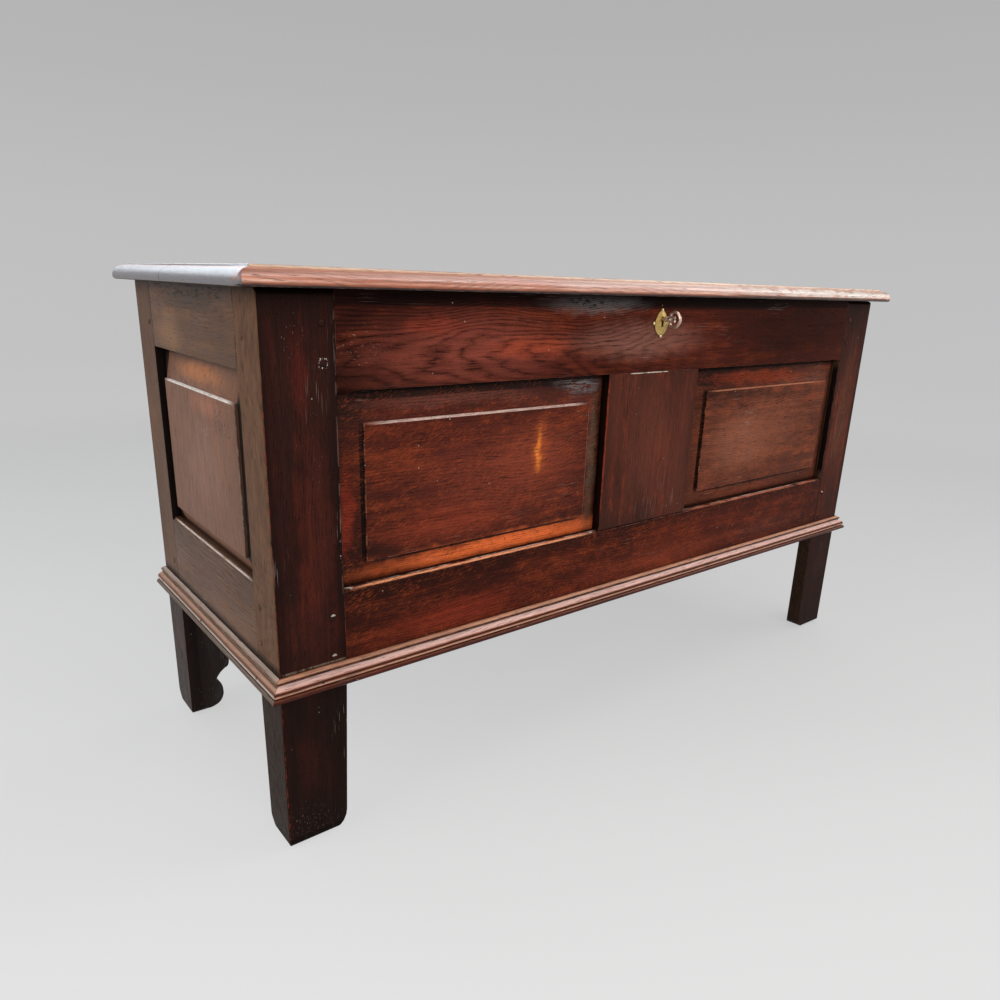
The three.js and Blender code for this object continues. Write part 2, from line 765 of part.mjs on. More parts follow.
// A length of moulding along X with its back to the carcass. Its ends are square, or mitred so that
// each point of the profile runs on by as much as it projects.
function mouldingRun([from, to], [mitreFrom, mitreTo]) {
  const run = prismGeometry(mouldingProfile(), 'x', from, to);
  const points = run.attributes.position;
  const middle = (from + to) / 2;
  for (let i = 0; i < points.count; i += 1) {
    const out = -points.getY(i);
    const isStart = points.getX(i) < middle;
    points.setX(i, points.getX(i) + (isStart ? -mitreFrom * out : mitreTo * out));
  }
  return solidOf(run);
}

function addBaseMoulding() {
  const shy = fitGap * Math.SQRT1_2;
  const front = mouldingRun([shy - halfWidth, halfWidth - shy], [1, 1]);
  addPiece(faceGroup(0, 0, 0), 'front_base_moulding', front, polishedOak);
  const left = faceGroup(-halfWidth, 0, -quarterTurn);
  addPiece(left, 'left_base_moulding', mouldingRun([-carcassDepth, -shy], [0, 1]), polishedOak);
  const right = faceGroup(halfWidth, 0, quarterTurn);
  addPiece(right, 'right_base_moulding', mouldingRun([shy, carcassDepth], [1, 0]), polishedOak);
}

// The lid's moulded edge from its underside up, as shares of the edge's width and the thickness:
// a round under edge, a nose, an ovolo, a quirk and a rounded fillet.
const lidEdgeShares = [
  [0.2, 0], [0.08, 0.04], [0.02, 0.12], [0, 0.23], [0.015, 0.34], [0.06, 0.46], [0.14, 0.58],
  [0.26, 0.69], [0.42, 0.78], [0.6, 0.84], [0.8, 0.88], [0.88, 0.89], [0.9, 0.95], [0.94, 0.99], [1, 1],
];

// The lid's outline at one level, drawn in by some width at its front and ends.
function lidOutline(inset, height) {
  const half = lidHalfWidth - inset;
  const front = lidFront + inset;
  const radius = Math.max(lidCornerRadius - inset, lidCornerLeast);
  return [
    [-half, lidRear],
    ...arc(radius - half, front + radius, radius, radius, west, south, cornerSteps),
    ...arc(half - radius, front + radius, radius, radius, south, eastAgain, cornerSteps),
    [half, lidRear],
  ].map(([x, y]) => [x, y, height]);
}

// Both boards are cut from one moulded slab along their joint.
function addLidBoards(lid) {
  const slab = loft(lidEdgeShares.map(([inShare, upShare]) => (
    lidOutline(inShare * lidEdgeWidth, lidUnder + upShare * lidThickness)
  )));
  const wide = [-lidHalfWidth - overrun, lidHalfWidth + overrun];
  const high = [lidUnder - overrun, lidUnder + lidThickness + overrun];
  const frontPart = block(wide, [lidFront - overrun, lidSeam - fitGap / 2], high);
  const rearPart = block(wide, [lidSeam + fitGap / 2, lidRear + overrun], high);
  addPiece(lid, 'lid_front_board', within(slab, frontPart), polishedOak);
  addPiece(lid, 'lid_rear_board', within(slab, rearPart), polishedOak);
}

// Battens across the boards, just inside the stiles, with snipped ends.
function addBattens(lid) {
  const outer = frontSpan / 2 - battenFromStile;
  const front = frontFrame.thickness + battenEndGap;
  const rear = carcassDepth - backFrame.thickness - battenEndGap;
  const top = lidUnder - fitGap;
  const low = top - battenThickness;
  const middle = (top + low) / 2;
  const outline = [[front + battenSnipe, low], [rear - battenSnipe, low], [rear, middle], [rear, top],
    [front, top], [front, middle]];
  const batten = prism(outline, 'x', outer - battenWidth, outer);
  addPiece(lid, 'lid_left_batten', mirrored(batten, true, false), dryOak);
  addPiece(lid, 'lid_right_batten', batten, dryOak);
}

// A strap drawn from its knuckle at 0: it narrows to a neck and ends in a round bud.
function strapOutline(length) {
  const half = strapWidth / 2;
  const neck = length - 2 * strapBud;
  return [
    [half, 0],
    [half, length / 3],
    [strapNeck / 2, neck],
    ...arc(0, length - strapBud, strapBud, strapBud, ...budAngles, budSteps),
    [-strapNeck / 2, neck],
    [-half, length / 3],
    [-half, 0],
  ];
}

// Knuckles round the hinge axis, between some places along X, and the bore through them.
const knuckle = (from, to) => rod('x', hingeAxisY, hingeAxisZ, knuckleRadius, from, to);
const pinBore = () => (
  rod('x', hingeAxisY, hingeAxisZ, hingePinRadius + fitGap, -strapWidth, strapWidth)
);

// The leaf under the lid, with the middle knuckle.
function lidLeaf() {
  const heights = [hingeAxisZ + knuckleRadius - strapThickness, hingeAxisZ + knuckleRadius];
  const outline = strapOutline(lidStrapLength).map(([x, away]) => [x, hingeAxisY - away]);
  const strap = prism(outline, 'z', ...heights);
  const half = knuckleLength / 2 - fitGap / 2;
  const clear = knuckleRadius + fitGap;
  const besides = [[-strapWidth, -half], [half, strapWidth]].map((wide) => block(
    wide,
    grown([hingeAxisY, hingeAxisY], clear),
    grown([hingeAxisZ, hingeAxisZ], clear),
  ));
  return cutAway(joined(strap, knuckle(-half, half)), ...besides, pinBore());
}

// The leaf down the back, with the two outer knuckles.
function backLeaf() {
  const depths = [hingeAxisY - knuckleRadius, hingeAxisY - knuckleRadius + strapThickness];
  const outline = strapOutline(backStrapLength).map(([x, away]) => [x, hingeAxisZ - away]);
  const strap = prism(outline, 'y', ...depths);
  const half = strapWidth / 2;
  const clear = knuckleRadius + fitGap;
  const between = block(
    grown([0, 0], knuckleLength / 2 + fitGap / 2),
    grown([hingeAxisY, hingeAxisY], clear),
    grown([hingeAxisZ, hingeAxisZ], clear),
  );
  return cutAway(joined(strap, knuckle(-half, half)), between, pinBore());
}

// The pin, with a flat head at each end.
function hingePin() {
  const half = strapWidth / 2 + fitGap;
  const heads = [-half - hingePinHeadHeight, half].map((from) => (
    rod('x', hingeAxisY, hingeAxisZ, hingePinHead, from, from + hingePinHeadHeight)
  ));
  return joined(rod('x', hingeAxisY, hingeAxisZ, hingePinRadius, -half, half), ...heads);
}

function addHinges(lid) {
  [['left', -1], ['right', 1]].forEach(([name, side]) => {
    const place = [side * hingeSpread, 0, 0];
    addPiece(chest, `${name}_hinge_back_leaf`, backLeaf(), iron, place);
    addPiece(chest, `${name}_hinge_pin`, hingePin(), iron, place);
    addPiece(lid, `${name}_hinge_lid_leaf`, lidLeaf(), iron, place);
  });
}

// The staple's outer sizes, worked out from the bolt that passes through its eye.
const boltAcross = [boltMiddle - boltDepth / 2, boltMiddle + boltDepth / 2];
const stapleEyeAcross = grown(boltAcross, stapleEyeGap);
const stapleEyeHeights = grown([boltLow, boltLow + boltHeight], stapleEyeGap);
const stapleAcross = grown(stapleEyeAcross, stapleWall);
const stapleWide = [stapleFromAxis, stapleFromAxis + stapleThickness];

// The lock's plate on the inside of the rail, turned over at the top, with a slot for the staple.
function lockPlate() {
  const low = keyAxisZ - plateBelowAxis;
  const rear = caseInnerBack + caseWall;
  const outline = [[plateFront, low], [plateBack, low], [plateBack, flangeTop - plateThickness],
    [rear, flangeTop - plateThickness], [rear, flangeTop], [plateFront, flangeTop]];
  const slot = block(
    grown(stapleWide, stapleSlotGap),
    grown(stapleAcross, stapleSlotGap),
    [flangeTop - plateThickness - overrun, flangeTop + overrun],
  );
  const body = prism(outline, 'x', -plateHalfWidth, plateHalfWidth);
  return cutAway(body, slot, keyhole(plateFront - overrun, plateBack + overrun));
}

// The case behind the plate, open towards it and at the top, with two ledges that carry the bolt.
function lockCase() {
  const low = keyAxisZ - caseBelowAxis;
  const high = flangeTop - plateThickness - fitGap;
  const outer = block(
    [-caseHalfWidth, caseHalfWidth],
    [caseFront, caseInnerBack + caseWall],
    [low, high],
  );
  const hollow = block(
    grown([-caseHalfWidth, caseHalfWidth], -caseWall),
    [caseFront - overrun, caseInnerBack],
    [low + caseWall, high + overrun],
  );
  const ledgeHeights = [boltLow - fitGap - ledgeThickness, boltLow - fitGap];
  const ledgeDepths = [boltAcross[0], caseInnerBack + caseWall / 2];
  const ledges = [
    [caseWall / 2 - caseHalfWidth, -talonLeft - ledgeTalonGap],
    [talonRight + boltThrow + ledgeTalonGap, stapleFromAxis - stapleSlotGap],
  ];
  return joined(cutAway(outer, hollow), ...ledges.map((wide) => block(wide, ledgeDepths, ledgeHeights)));
}

// The bolt: a bar with a talon hanging below it, notched for the key's bit.
function lockBolt() {
  const high = boltLow + boltHeight;
  const low = boltLow - boltTalonDrop;
  const outline = [
    [-boltTail, boltLow], [-talonLeft, boltLow], [-talonLeft, low], [-notchLeft, low],
    [-notchLeft, boltLow], [notchRight, boltLow], [notchRight, low], [talonRight, low],
    [talonRight, boltLow], [boltNose, boltLow], [boltNose, high], [-boltTail, high],
  ];
  return prism(outline, 'y', ...boltAcross);
}

// The staple under the lid: a plate and an eye for the bolt.
function lockStaple() {
  const top = lidUnder - fitGap;
  const middleX = (stapleWide[0] + stapleWide[1]) / 2;
  const plate = block(
    grown([middleX, middleX], staplePlateWidth / 2),
    grown([boltMiddle, boltMiddle], staplePlateDepth / 2),
    [top - staplePlateThickness, top],
  );
  const loopHeights = [stapleEyeHeights[0] - stapleWall, top - staplePlateThickness / 2];
  const loop = block(stapleWide, stapleAcross, loopHeights);
  const eye = block(grown(stapleWide, overrun), stapleEyeAcross, stapleEyeHeights);
  return cutAway(joined(plate, loop), eye);
}

// The key's bow: one rod that curls in at both ends to meet the shank. Shares of its length and
// half height, from the inner end of the upper curl.
const bowCurlShares = [
  [0.5, 0.22], [0.3, 0.2], [0.13, 0.36], [0.15, 0.72], [0.38, 0.92], [0.68, 0.86], [0.9, 0.45],
];

function keyBow() {
  const length = bowLength - bowRod;
  const half = bowHeight / 2 - bowRod;
  const upper = bowCurlShares.map(([out, up]) => [out * length, up * half / 0.92]);
  const lower = upper.map(([out, up]) => [out, -up]).reverse();
  const path = new THREE.CatmullRomCurve3([...upper, [length, 0], ...lower].map(([out, up]) => (
    new THREE.Vector3(0, -keyShankAhead - out, keyAxisZ + up)
  )));
  const section = new THREE.Shape(arc(0, 0, bowRod, bowRod, east, eastAgain, bowSides).slice(1)
    .map(([a, b]) => new THREE.Vector2(a, b)));
  return solidOf(new THREE.ExtrudeGeometry(section, { steps: bowSteps, extrudePath: path }));
}

// The key: a pipe shank with a collar and bow, and a warded bit that hangs down at rest.
function lockKey() {
  const shank = rod('y', 0, keyAxisZ, keyShankRadius, -keyShankAhead - bowRod * 2, keyTip);
  const collarAt = keyCollarLength - keyShankAhead;
  const collar = rod('y', 0, keyAxisZ, keyCollarRadius, collarAt, collarAt + keyCollarLength);
  const bore = rod('y', 0, keyAxisZ, keyBore, keyTip - keyBoreLength, keyTip + overrun);
  const bitFront = bitBack - keyBitLength;
  const bitLow = keyAxisZ - keyBitReach;
  const wardFront = (bitFront + bitBack - keyWardWidth) / 2;
  const bitOutline = [
    [bitFront, keyAxisZ - keyBore - fitGap], [bitFront, bitLow], [wardFront, bitLow],
    [wardFront, bitLow + keyWardDepth], [wardFront + keyWardWidth, bitLow + keyWardDepth],
    [wardFront + keyWardWidth, bitLow], [bitBack, bitLow], [bitBack, keyAxisZ - keyBore - fitGap],
  ];
  const bit = prism(bitOutline, 'x', -keyBitThickness / 2, keyBitThickness / 2);
  return cutAway(joined(shank, collar, bit, keyBow()), bore);
}

function addLock(lid) {
  addPiece(chest, 'lock_plate', lockPlate(), iron);
  addPiece(chest, 'lock_case', lockCase(), iron);
  const pinBack = caseInnerBack - fitGap;
  const pin = rod('y', 0, keyAxisZ, drillPinRadius, pinBack - drillPinLength, pinBack);
  addPiece(chest, 'drill_pin', pin, iron);
  addPiece(chest, 'lock_bolt', lockBolt(), iron);
  addPiece(chest, 'key', lockKey(), steel);
  addPiece(lid, 'lock_staple', lockStaple(), iron);
}

// Half of the escutcheon's outline from its top point to its bottom point, as shares of its half
// width and half height.
const escutcheonEdgeShares = [
  [0, 1], [0.24, 0.92], [0.43, 0.77], [0.59, 0.58], [0.7, 0.36], [0.78, 0.16], [0.93, 0.02],
  [0.88, -0.14], [0.79, -0.38], [0.66, -0.6], [0.46, -0.79], [0.25, -0.93], [0, -1],
];

// The escutcheon's outline drawn in by a share of its size, at one depth.
function escutcheonOutline(share, y) {
  const edge = escutcheonEdgeShares.map(([x, z]) => [x * escutcheonHalfWidth, z * escutcheonHalfHeight]);
  const other = edge.slice(1, -1).map(([x, z]) => [-x, z]).reverse();
  return [...edge, ...other].map(([x, z]) => [x * share, y, escutcheonZ + z * share]);
}

// The raised plate as rings: share of the outline drawn, and share of the dome's height.
const escutcheonDomeShares = [[1, 0], [0.87, 0.05], [0.62, 0.75], [0.4, 1]];

function escutcheon() {
  const face = -fitGap - escutcheonThickness;
  const body = loft([
    escutcheonOutline(1, -fitGap),
    ...escutcheonDomeShares.map(([share, rise]) => escutcheonOutline(share, face - rise * escutcheonDome)),
  ]);
  const eyes = escutcheonPoints.map(([x, z]) => rod('y', x, z, escutcheonEyeRadius, face, -fitGap));
  const cuts = [keyhole(-overrun, overrun), ...escutcheonPinHoles(-overrun, overrun)];
  return cutAway(joined(body, ...eyes), ...cuts);
}

// Round-headed pins through the escutcheon's four points.
function addEscutcheon() {
  addPiece(chest, 'escutcheon', escutcheon(), brass);
  const seat = fitGap * 2 + escutcheonThickness;
  const profile = [
    [0, -escutcheonPinLength],
    [escutcheonPinRadius, -escutcheonPinLength + escutcheonPinRadius],
    [escutcheonPinRadius, seat],
    ...arc(0, seat, escutcheonPinHead, escutcheonPinRise, east, north, domeSteps),
  ];
  profile[profile.length - 1][0] = 0;
  const pin = turned(profile, pegSides);
  escutcheonPoints.forEach(([x, z], i) => {
    addPiece(chest, `escutcheon_pin_${i + 1}`, pin, brass, [x, 0, z]);
  });
}

const lid = new THREE.Group();
chest.add(lid);

addStiles();
addFrontFrame();
addEndFrame('left', -1);
addEndFrame('right', 1);
addBackFrame();
addPegs();
addFloor();
addBaseMoulding();
addLidBoards(lid);
addBattens(lid);
addHinges(lid);
addLock(lid);
addEscutcheon();

// The whole reaches from the key's bow to the lid's back edge; its middle goes over the origin.
chest.position.y = -(lidRear - keyReach) / 2;

export default chest;
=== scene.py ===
import json
import math
import random

import bmesh
import bpy
from mathutils import Matrix, Vector


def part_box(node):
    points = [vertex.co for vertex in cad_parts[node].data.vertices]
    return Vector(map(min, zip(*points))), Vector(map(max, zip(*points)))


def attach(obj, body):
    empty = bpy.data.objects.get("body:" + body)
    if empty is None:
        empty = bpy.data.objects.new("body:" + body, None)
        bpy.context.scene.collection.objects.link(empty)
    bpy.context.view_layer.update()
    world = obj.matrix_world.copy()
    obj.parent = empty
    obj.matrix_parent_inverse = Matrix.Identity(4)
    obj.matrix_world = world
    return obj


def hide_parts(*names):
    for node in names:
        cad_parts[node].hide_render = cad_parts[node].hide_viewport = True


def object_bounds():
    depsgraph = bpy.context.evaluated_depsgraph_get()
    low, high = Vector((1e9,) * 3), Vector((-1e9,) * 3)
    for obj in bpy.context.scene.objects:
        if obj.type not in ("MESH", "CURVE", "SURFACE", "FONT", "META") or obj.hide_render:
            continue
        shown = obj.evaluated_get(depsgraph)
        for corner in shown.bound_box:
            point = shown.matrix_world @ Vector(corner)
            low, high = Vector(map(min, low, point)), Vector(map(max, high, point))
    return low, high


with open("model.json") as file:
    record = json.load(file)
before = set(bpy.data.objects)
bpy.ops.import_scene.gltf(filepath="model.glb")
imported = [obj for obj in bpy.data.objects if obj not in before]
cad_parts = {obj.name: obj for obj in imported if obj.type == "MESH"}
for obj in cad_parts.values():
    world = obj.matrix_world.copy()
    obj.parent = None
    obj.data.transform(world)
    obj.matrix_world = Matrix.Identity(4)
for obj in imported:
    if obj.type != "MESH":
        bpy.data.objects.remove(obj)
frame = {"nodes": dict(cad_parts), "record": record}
nodes = frame["nodes"]
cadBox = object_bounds()
print("frame loaded:", len(nodes), "nodes")

# Camera, fitted to the corners and edges of the chest in the photograph. Place in metres, turns
# in degrees, lens and sensor in millimetres.
cameraPlan = {
    "place": (-0.91035, -0.98661, 0.68386),
    "azimuth": -38.9166,
    "elevation": 17.9256,
    "roll": 1.9026,
    "lens": 27.694,
    "sensor": 36,
    "nearest": 0.01,
    "shift": (-0.003611, 0.0320),
}


# A new object with this data, in the scene.
def added(name, data):
    made = bpy.data.objects.new(name, data)
    bpy.context.scene.collection.objects.link(made)
    return made


def addCamera(plan):
    data = bpy.data.cameras.new("photoCamera")
    data.sensor_width = plan["sensor"]
    data.lens = plan["lens"]
    data.shift_x, data.shift_y = plan["shift"]
    data.clip_start = plan["nearest"]
    camera = added("photoCamera", data)
    a, e, r = (math.radians(plan[key]) for key in ("azimuth", "elevation", "roll"))
    back = Vector((math.sin(a) * math.cos(e), -math.cos(a) * math.cos(e), math.sin(e)))
    right = Vector((math.cos(a), math.sin(a), 0))
    up = back.cross(right)
    side = math.cos(r) * right + math.sin(r) * up
    head = -math.sin(r) * right + math.cos(r) * up
    turn = Matrix((side, head, back)).transposed().to_4x4()
    camera.matrix_world = Matrix.Translation(plan["place"]) @ turn
    bpy.context.scene.camera = camera


addCamera(cameraPlan)


# One output socket. Sums of these add Math nodes.
class Reading:
    def __init__(self, finish, socket):
        self.finish = finish
        self.socket = socket

    def also(self, name):
        return Reading(self.finish, self.socket.node.outputs[name])

    def __add__(self, other):
        return self.finish.maths("ADD", self, other)

    def __radd__(self, other):
        return self.finish.maths("ADD", other, self)

    def __sub__(self, other):
        return self.finish.maths("SUBTRACT", self, other)

    def __rsub__(self, other):
        return self.finish.maths("SUBTRACT", other, self)

    def __mul__(self, other):
        return self.finish.maths("MULTIPLY", self, other)

    def __rmul__(self, other):
        return self.finish.maths("MULTIPLY", other, self)

    def __truediv__(self, other):
        return self.finish.maths("DIVIDE", self, other)

    def __pow__(self, other):
        return self.finish.maths("POWER", self, other)

    # 0 below low, 1 above high, soft between
    def over(self, low, high):
        return self.finish.step(self, low, high, 0.0, 1.0)

    # 1 below low, 0 above high
    def under(self, low, high):
        return self.finish.step(self, low, high, 1.0, 0.0)


# Every node of a tree comes from here. Its settings are set first, then its sockets.
def addNode(owner, kind, settings, values, out):
    made = owner.tree.nodes.new(kind)
    for key, value in (settings or {}).items():
        if key == "stops":
            elements = made.color_ramp.elements
            while len(elements) < len(value):
                elements.new(1.0)
            for element, (position, colour) in zip(elements, value):
                element.position = position
                element.color = colour
        else:
            setattr(made, key, value)
    for key, value in (values or {}).items():
        if isinstance(value, Reading):
            owner.tree.links.new(value.socket, made.inputs[key])
        else:
            made.inputs[key].default_value = value
    return Reading(owner, made.outputs[out]) if made.outputs else made


# One material, and the few ways nodes are added to it.
class Finish:
    def __init__(self, name):
        self.material = bpy.data.materials.new(name)
        self.material.use_nodes = True
        self.tree = self.material.node_tree
        self.tree.nodes.clear()

    def node(self, kind, settings=None, values=None, out=0):
        return addNode(self, "ShaderNode" + kind, settings, values, out)

    def maths(self, operation, *parts):
        return self.node("Math", {"operation": operation}, dict(enumerate(parts)))

    def vectors(self, operation, *parts, out=0):
        return self.node("VectorMath", {"operation": operation}, dict(enumerate(parts)), out)

    def step(self, value, low, high, first, last):
        limits = {"Value": value, "From Min": low, "From Max": high, "To Min": first, "To Max": last}
        return self.node("MapRange", {"interpolation_type": "SMOOTHSTEP"}, limits)

    # Sockets 6, 7 and 2 are a Mix node's colours
    def blend(self, amount, first, second, kind="MIX"):
        settings = {"data_type": "RGBA", "blend_type": kind, "clamp_result": False}
        return self.node("Mix", settings, {0: amount, 6: first, 7: second}, out=2)

    def ramp(self, stops, value):
        return self.node("ValToRGB", {"stops": stops}, {0: value})

    def point(self, x, y, z):
        return self.node("CombineXYZ", {}, {0: x, 1: y, 2: z})

    def split(self, vector):
        return self.node("SeparateXYZ", {}, {0: vector}, out="X")

    def place(self):
        return self.node("TexCoord", out="Object")

    def facing(self):
        return self.split(self.node("TexCoord", out="Normal"))

    def noise(self, place, detail=2.0, roughness=0.5, scale=1.0, distortion=0.0, out=0):
        values = {"Vector": place, "Scale": scale, "Detail": detail, "Roughness": roughness}
        values["Distortion"] = distortion
        return self.node("TexNoise", {"normalize": True}, values, out)

    # 1 on the faces of worn edges
    def worn(self):
        return self.node("Attribute", {"attribute_name": "worn"}, out="Fac")

    # 1 in the open, less in corners within reach of another face
    def openness(self, reach):
        return self.node("AmbientOcclusion", {"samples": 6, "only_local": False}, {"Distance": reach}, "AO")

    def relief(self, strength, distance, height):
        values = {"Strength": strength, "Distance": distance, "Height": height}
        return self.node("Bump", {}, values, out="Normal")

    # 1 at a mark's middle, 0 outside it
    def mask(self, place, mark):
        shares = tuple(1 / size if size else 0 for size in mark["reach"])
        away = self.vectors("MULTIPLY", self.vectors("SUBTRACT", place, mark["at"]), shares)
        if mark["sharp"]:
            parts = self.split(self.vectors("ABSOLUTE", away))
            far = self.maths("MAXIMUM", self.maths("MAXIMUM", parts, parts.also("Y")), parts.also("Z"))
            return far.under(0.8, 1.0)
        return self.vectors("LENGTH", away, out="Value").under(0.2, 1.0)

    def surface(self, values, bump):
        shader = self.node("BsdfPrincipled", {}, {**values, "Normal": bump})
        self.node("OutputMaterial", {}, {"Surface": shader})
        return self.material


# A colour as it looks on the screen, 0 to 255, as the shader wants it.
def tint(red, green, blue):
    def straight(value):
        part = value / 255
        return part / 12.92 if part <= 0.04045 else ((part + 0.055) / 1.055) ** 2.4

    return (straight(red), straight(green), straight(blue), 1.0)


# Stops of a colour ramp: each row is its place and its colour.
def shades(*rows):
    return [(place, tint(*colour)) for place, *colour in rows]


# A place on a piece with its own colour, soft at its rim. A reach of 0 leaves that direction
# out. broken is the noise that breaks it up: how many to the metre along the grain and across
# it, and the two values between which it comes in.
def mark(at, reach, colour, amount, broken=None):
    plan = {"at": at, "reach": reach, "colour": tint(*colour), "amount": amount}
    return {**plan, "broken": broken, "sharp": False}


# The same with straight, crisp sides.
def strip(*plan):
    return {**mark(*plan), "sharp": True}


# Dark waxed oak, as on the front of the chest. night, base, glow and fire are its colours from
# the darkest to the brightest. Reaches, gaps and waves are in metres.
polishedOak = {
    "night": tint(32, 17, 14),
    "base": tint(72, 30, 21),
    "glow": tint(122, 50, 30),
    "fire": tint(160, 72, 38),
    "pore": tint(17, 10, 8),
    "wear": tint(158, 98, 74),
    "speck": tint(205, 190, 176),
    "glowAmount": 0.6,
    "glowRange": (0.44, 0.75),
    "nightRange": (0.26, 0.62),
    "ringGap": 0.0036,
    "ringWave": 0.016,
    "ringFade": None,
    "ringDepth": 0.3,
    "fibreDepth": 0.62,
    "gritDepth": 0.8,
    "rayTurn": None,
    "rayAmount": 0.4,
    "edgeReach": (0.045, 0.016),
    "edgeAmount": 0.8,
    "poreDepth": 0.8,
    "scratches": 0.35,
    "wearAmount": 0.55,
    "dirt": 0.75,
    "sideLightAndShadeTints": None,
    "sideRange": (0.55, 0.85),
    "bands": None,
    "sheen": 0.06,
    "roughness": 0.4,
    "coat": 0.0,
    "bump": 0.6,
}

# The ends are an olive brown, paler than the front: partly faded, and partly painted light as if lit from the
# side.
oliveOak = {
    "night": tint(70, 46, 32),
    "base": tint(100, 69, 48),
    "glow": tint(118, 81, 54),
    "fire": tint(134, 90, 56),
    "wear": tint(150, 128, 110),
    "edgeAmount": 0.4,
    "glowAmount": 0.5,
    "ringDepth": 0.22,
    "fibreDepth": 0.45,
    "poreDepth": 0.3,
    "sheen": 0.12,
}

# The lid's edge by height: painted highlights on its rounds, over some rubbing, and painted shade underneath.
lidHighlightAndShadeBands = {
    "from": 0.6725,
    "to": 0.694,
    "stops": shades(
        (0.0, 22, 8, 6), (0.06, 44, 16, 11), (0.12, 86, 38, 27), (0.17, 136, 78, 58),
        (0.23, 190, 132, 108), (0.29, 232, 182, 162), (0.33, 224, 174, 154), (0.41, 176, 120, 98),
        (0.46, 196, 150, 134), (0.54, 216, 182, 174), (0.6, 176, 128, 110), (0.67, 118, 64, 43),
        (0.74, 138, 82, 57), (0.84, 176, 122, 92), (0.91, 190, 150, 120), (0.95, 214, 188, 164),
        (1.0, 164, 118, 86),
    ),
    "amount": 0.92,
    "waver": 0.0014,
}

# The lid, most handled, has gone orange and is the most polished.
lidOak = {
    "night": tint(84, 40, 25),
    "base": tint(122, 64, 40),
    "glow": tint(152, 88, 58),
    "fire": tint(182, 128, 92),
    "bands": lidHighlightAndShadeBands,
    # painted reflection: the lid's ends a pale bluish grey
    "sideLightAndShadeTints": (tint(104, 101, 105), tint(114, 111, 115)),
    "sideRange": (0.2, 0.45),
    "ringDepth": 0.22,
    "fibreDepth": 0.5,
    "gritDepth": 0.5,
    "bump": 0.3,
    "pore": tint(60, 28, 20),
    "wear": tint(226, 176, 146),
    "edgeAmount": 0.0,
    "glowAmount": 0.75,
    "nightRange": (0.3, 0.5),
    "sheen": 0.4,
    "roughness": 0.34,
    "coat": 0.1,
}

# Nearly black where many years of polish and smoke were never rubbed off.
blackOak = {
    "night": tint(24, 14, 12),
    "base": tint(48, 26, 21),
    "glow": tint(78, 32, 25),
    "fire": tint(104, 44, 30),
    "glowAmount": 0.5,
    "ringDepth": 0.12,
    "scratches": 0.6,
}

# Moulding colours by height, from the bead's foot to the top fillet: painted highlights on the rounds and
# painted shade in the hollows.
mouldingHighlightAndShadeBands = {
    "from": 0.2115,
    "to": 0.2410,
    "stops": shades(
        (0.0, 44, 18, 12), (0.16, 58, 23, 14), (0.26, 70, 28, 16), (0.33, 108, 60, 42),
        (0.36, 180, 128, 104), (0.4, 216, 168, 142), (0.44, 206, 154, 128), (0.47, 120, 70, 50),
        (0.5, 62, 27, 15), (0.55, 62, 27, 15), (0.58, 150, 98, 76), (0.62, 222, 174, 160),
        (0.7, 236, 198, 188), (0.73, 218, 184, 174), (0.76, 124, 88, 72), (0.79, 50, 25, 16),
        (0.87, 62, 31, 19), (0.905, 194, 140, 112), (0.94, 202, 150, 122), (0.98, 128, 78, 54),
        (1.0, 98, 52, 33),
    ),
    "amount": 0.9,
    "waver": 0.0006,
}

# The end lengths, duller, with their own painted highlights and painted shade.
oliveHighlightAndShadeBands = {
    **mouldingHighlightAndShadeBands,
    "stops": shades(
        (0.0, 50, 36, 28), (0.14, 84, 66, 54), (0.3, 104, 90, 80), (0.37, 124, 112, 104),
        (0.41, 190, 178, 170), (0.45, 200, 188, 180), (0.49, 170, 150, 138), (0.53, 106, 76, 62),
        (0.57, 88, 56, 43), (0.61, 140, 102, 82), (0.66, 170, 130, 108), (0.74, 168, 132, 110),
        (0.8, 130, 98, 80), (0.85, 68, 44, 32), (0.89, 74, 48, 36), (0.92, 138, 114, 100),
        (0.96, 172, 150, 136), (1.0, 146, 124, 110),
    ),
}

oliveMoulding = {
    **oliveOak,
    "bands": oliveHighlightAndShadeBands,
    "edgeAmount": 0.0,
    "sheen": 0.08,
    "coat": 0.04,
    "fibreDepth": 0.4,
    "ringDepth": 0.12,
    "gritDepth": 0.5,
}


# The noises of an oak board: how many to the metre along the grain and across it, which offset
# they start from, their detail and their roughness.
boardNoises = {
    "wander": (2.3, 3, 0, 1.5, 0.5),
    "ripple": (8, 38, 3, 2, 0.5),
    "fibre": (8, 340, 1, 3, 0.65),
    "streak": (3.4, 75, 2, 3, 0.55),
    "dots": (55, 1100, 4, 1, 0.5),
    "patch": (5, 11, 5, 4, 0.6),
    "cloud": (26, 60, 0, 4, 0.65),
    "grime": (2.2, 4.4, 2, 2, 0.5),
    "grit": (330, 820, 3, 2, 0.7),
    "rub": (60, 60, 1, 4, 0.7),
    "hairs": (22, 1500, 5, 1, 0.5),
    "hairPlaces": (9, 16, 1, 2, 0.5),
    "rawPatch": (3, 9, 3, 4, 0.6),
    "sawnRings": (2, 3, 5, 2, 0.5),
    "stain": (4, 7, 8, 3, 0.5),
}


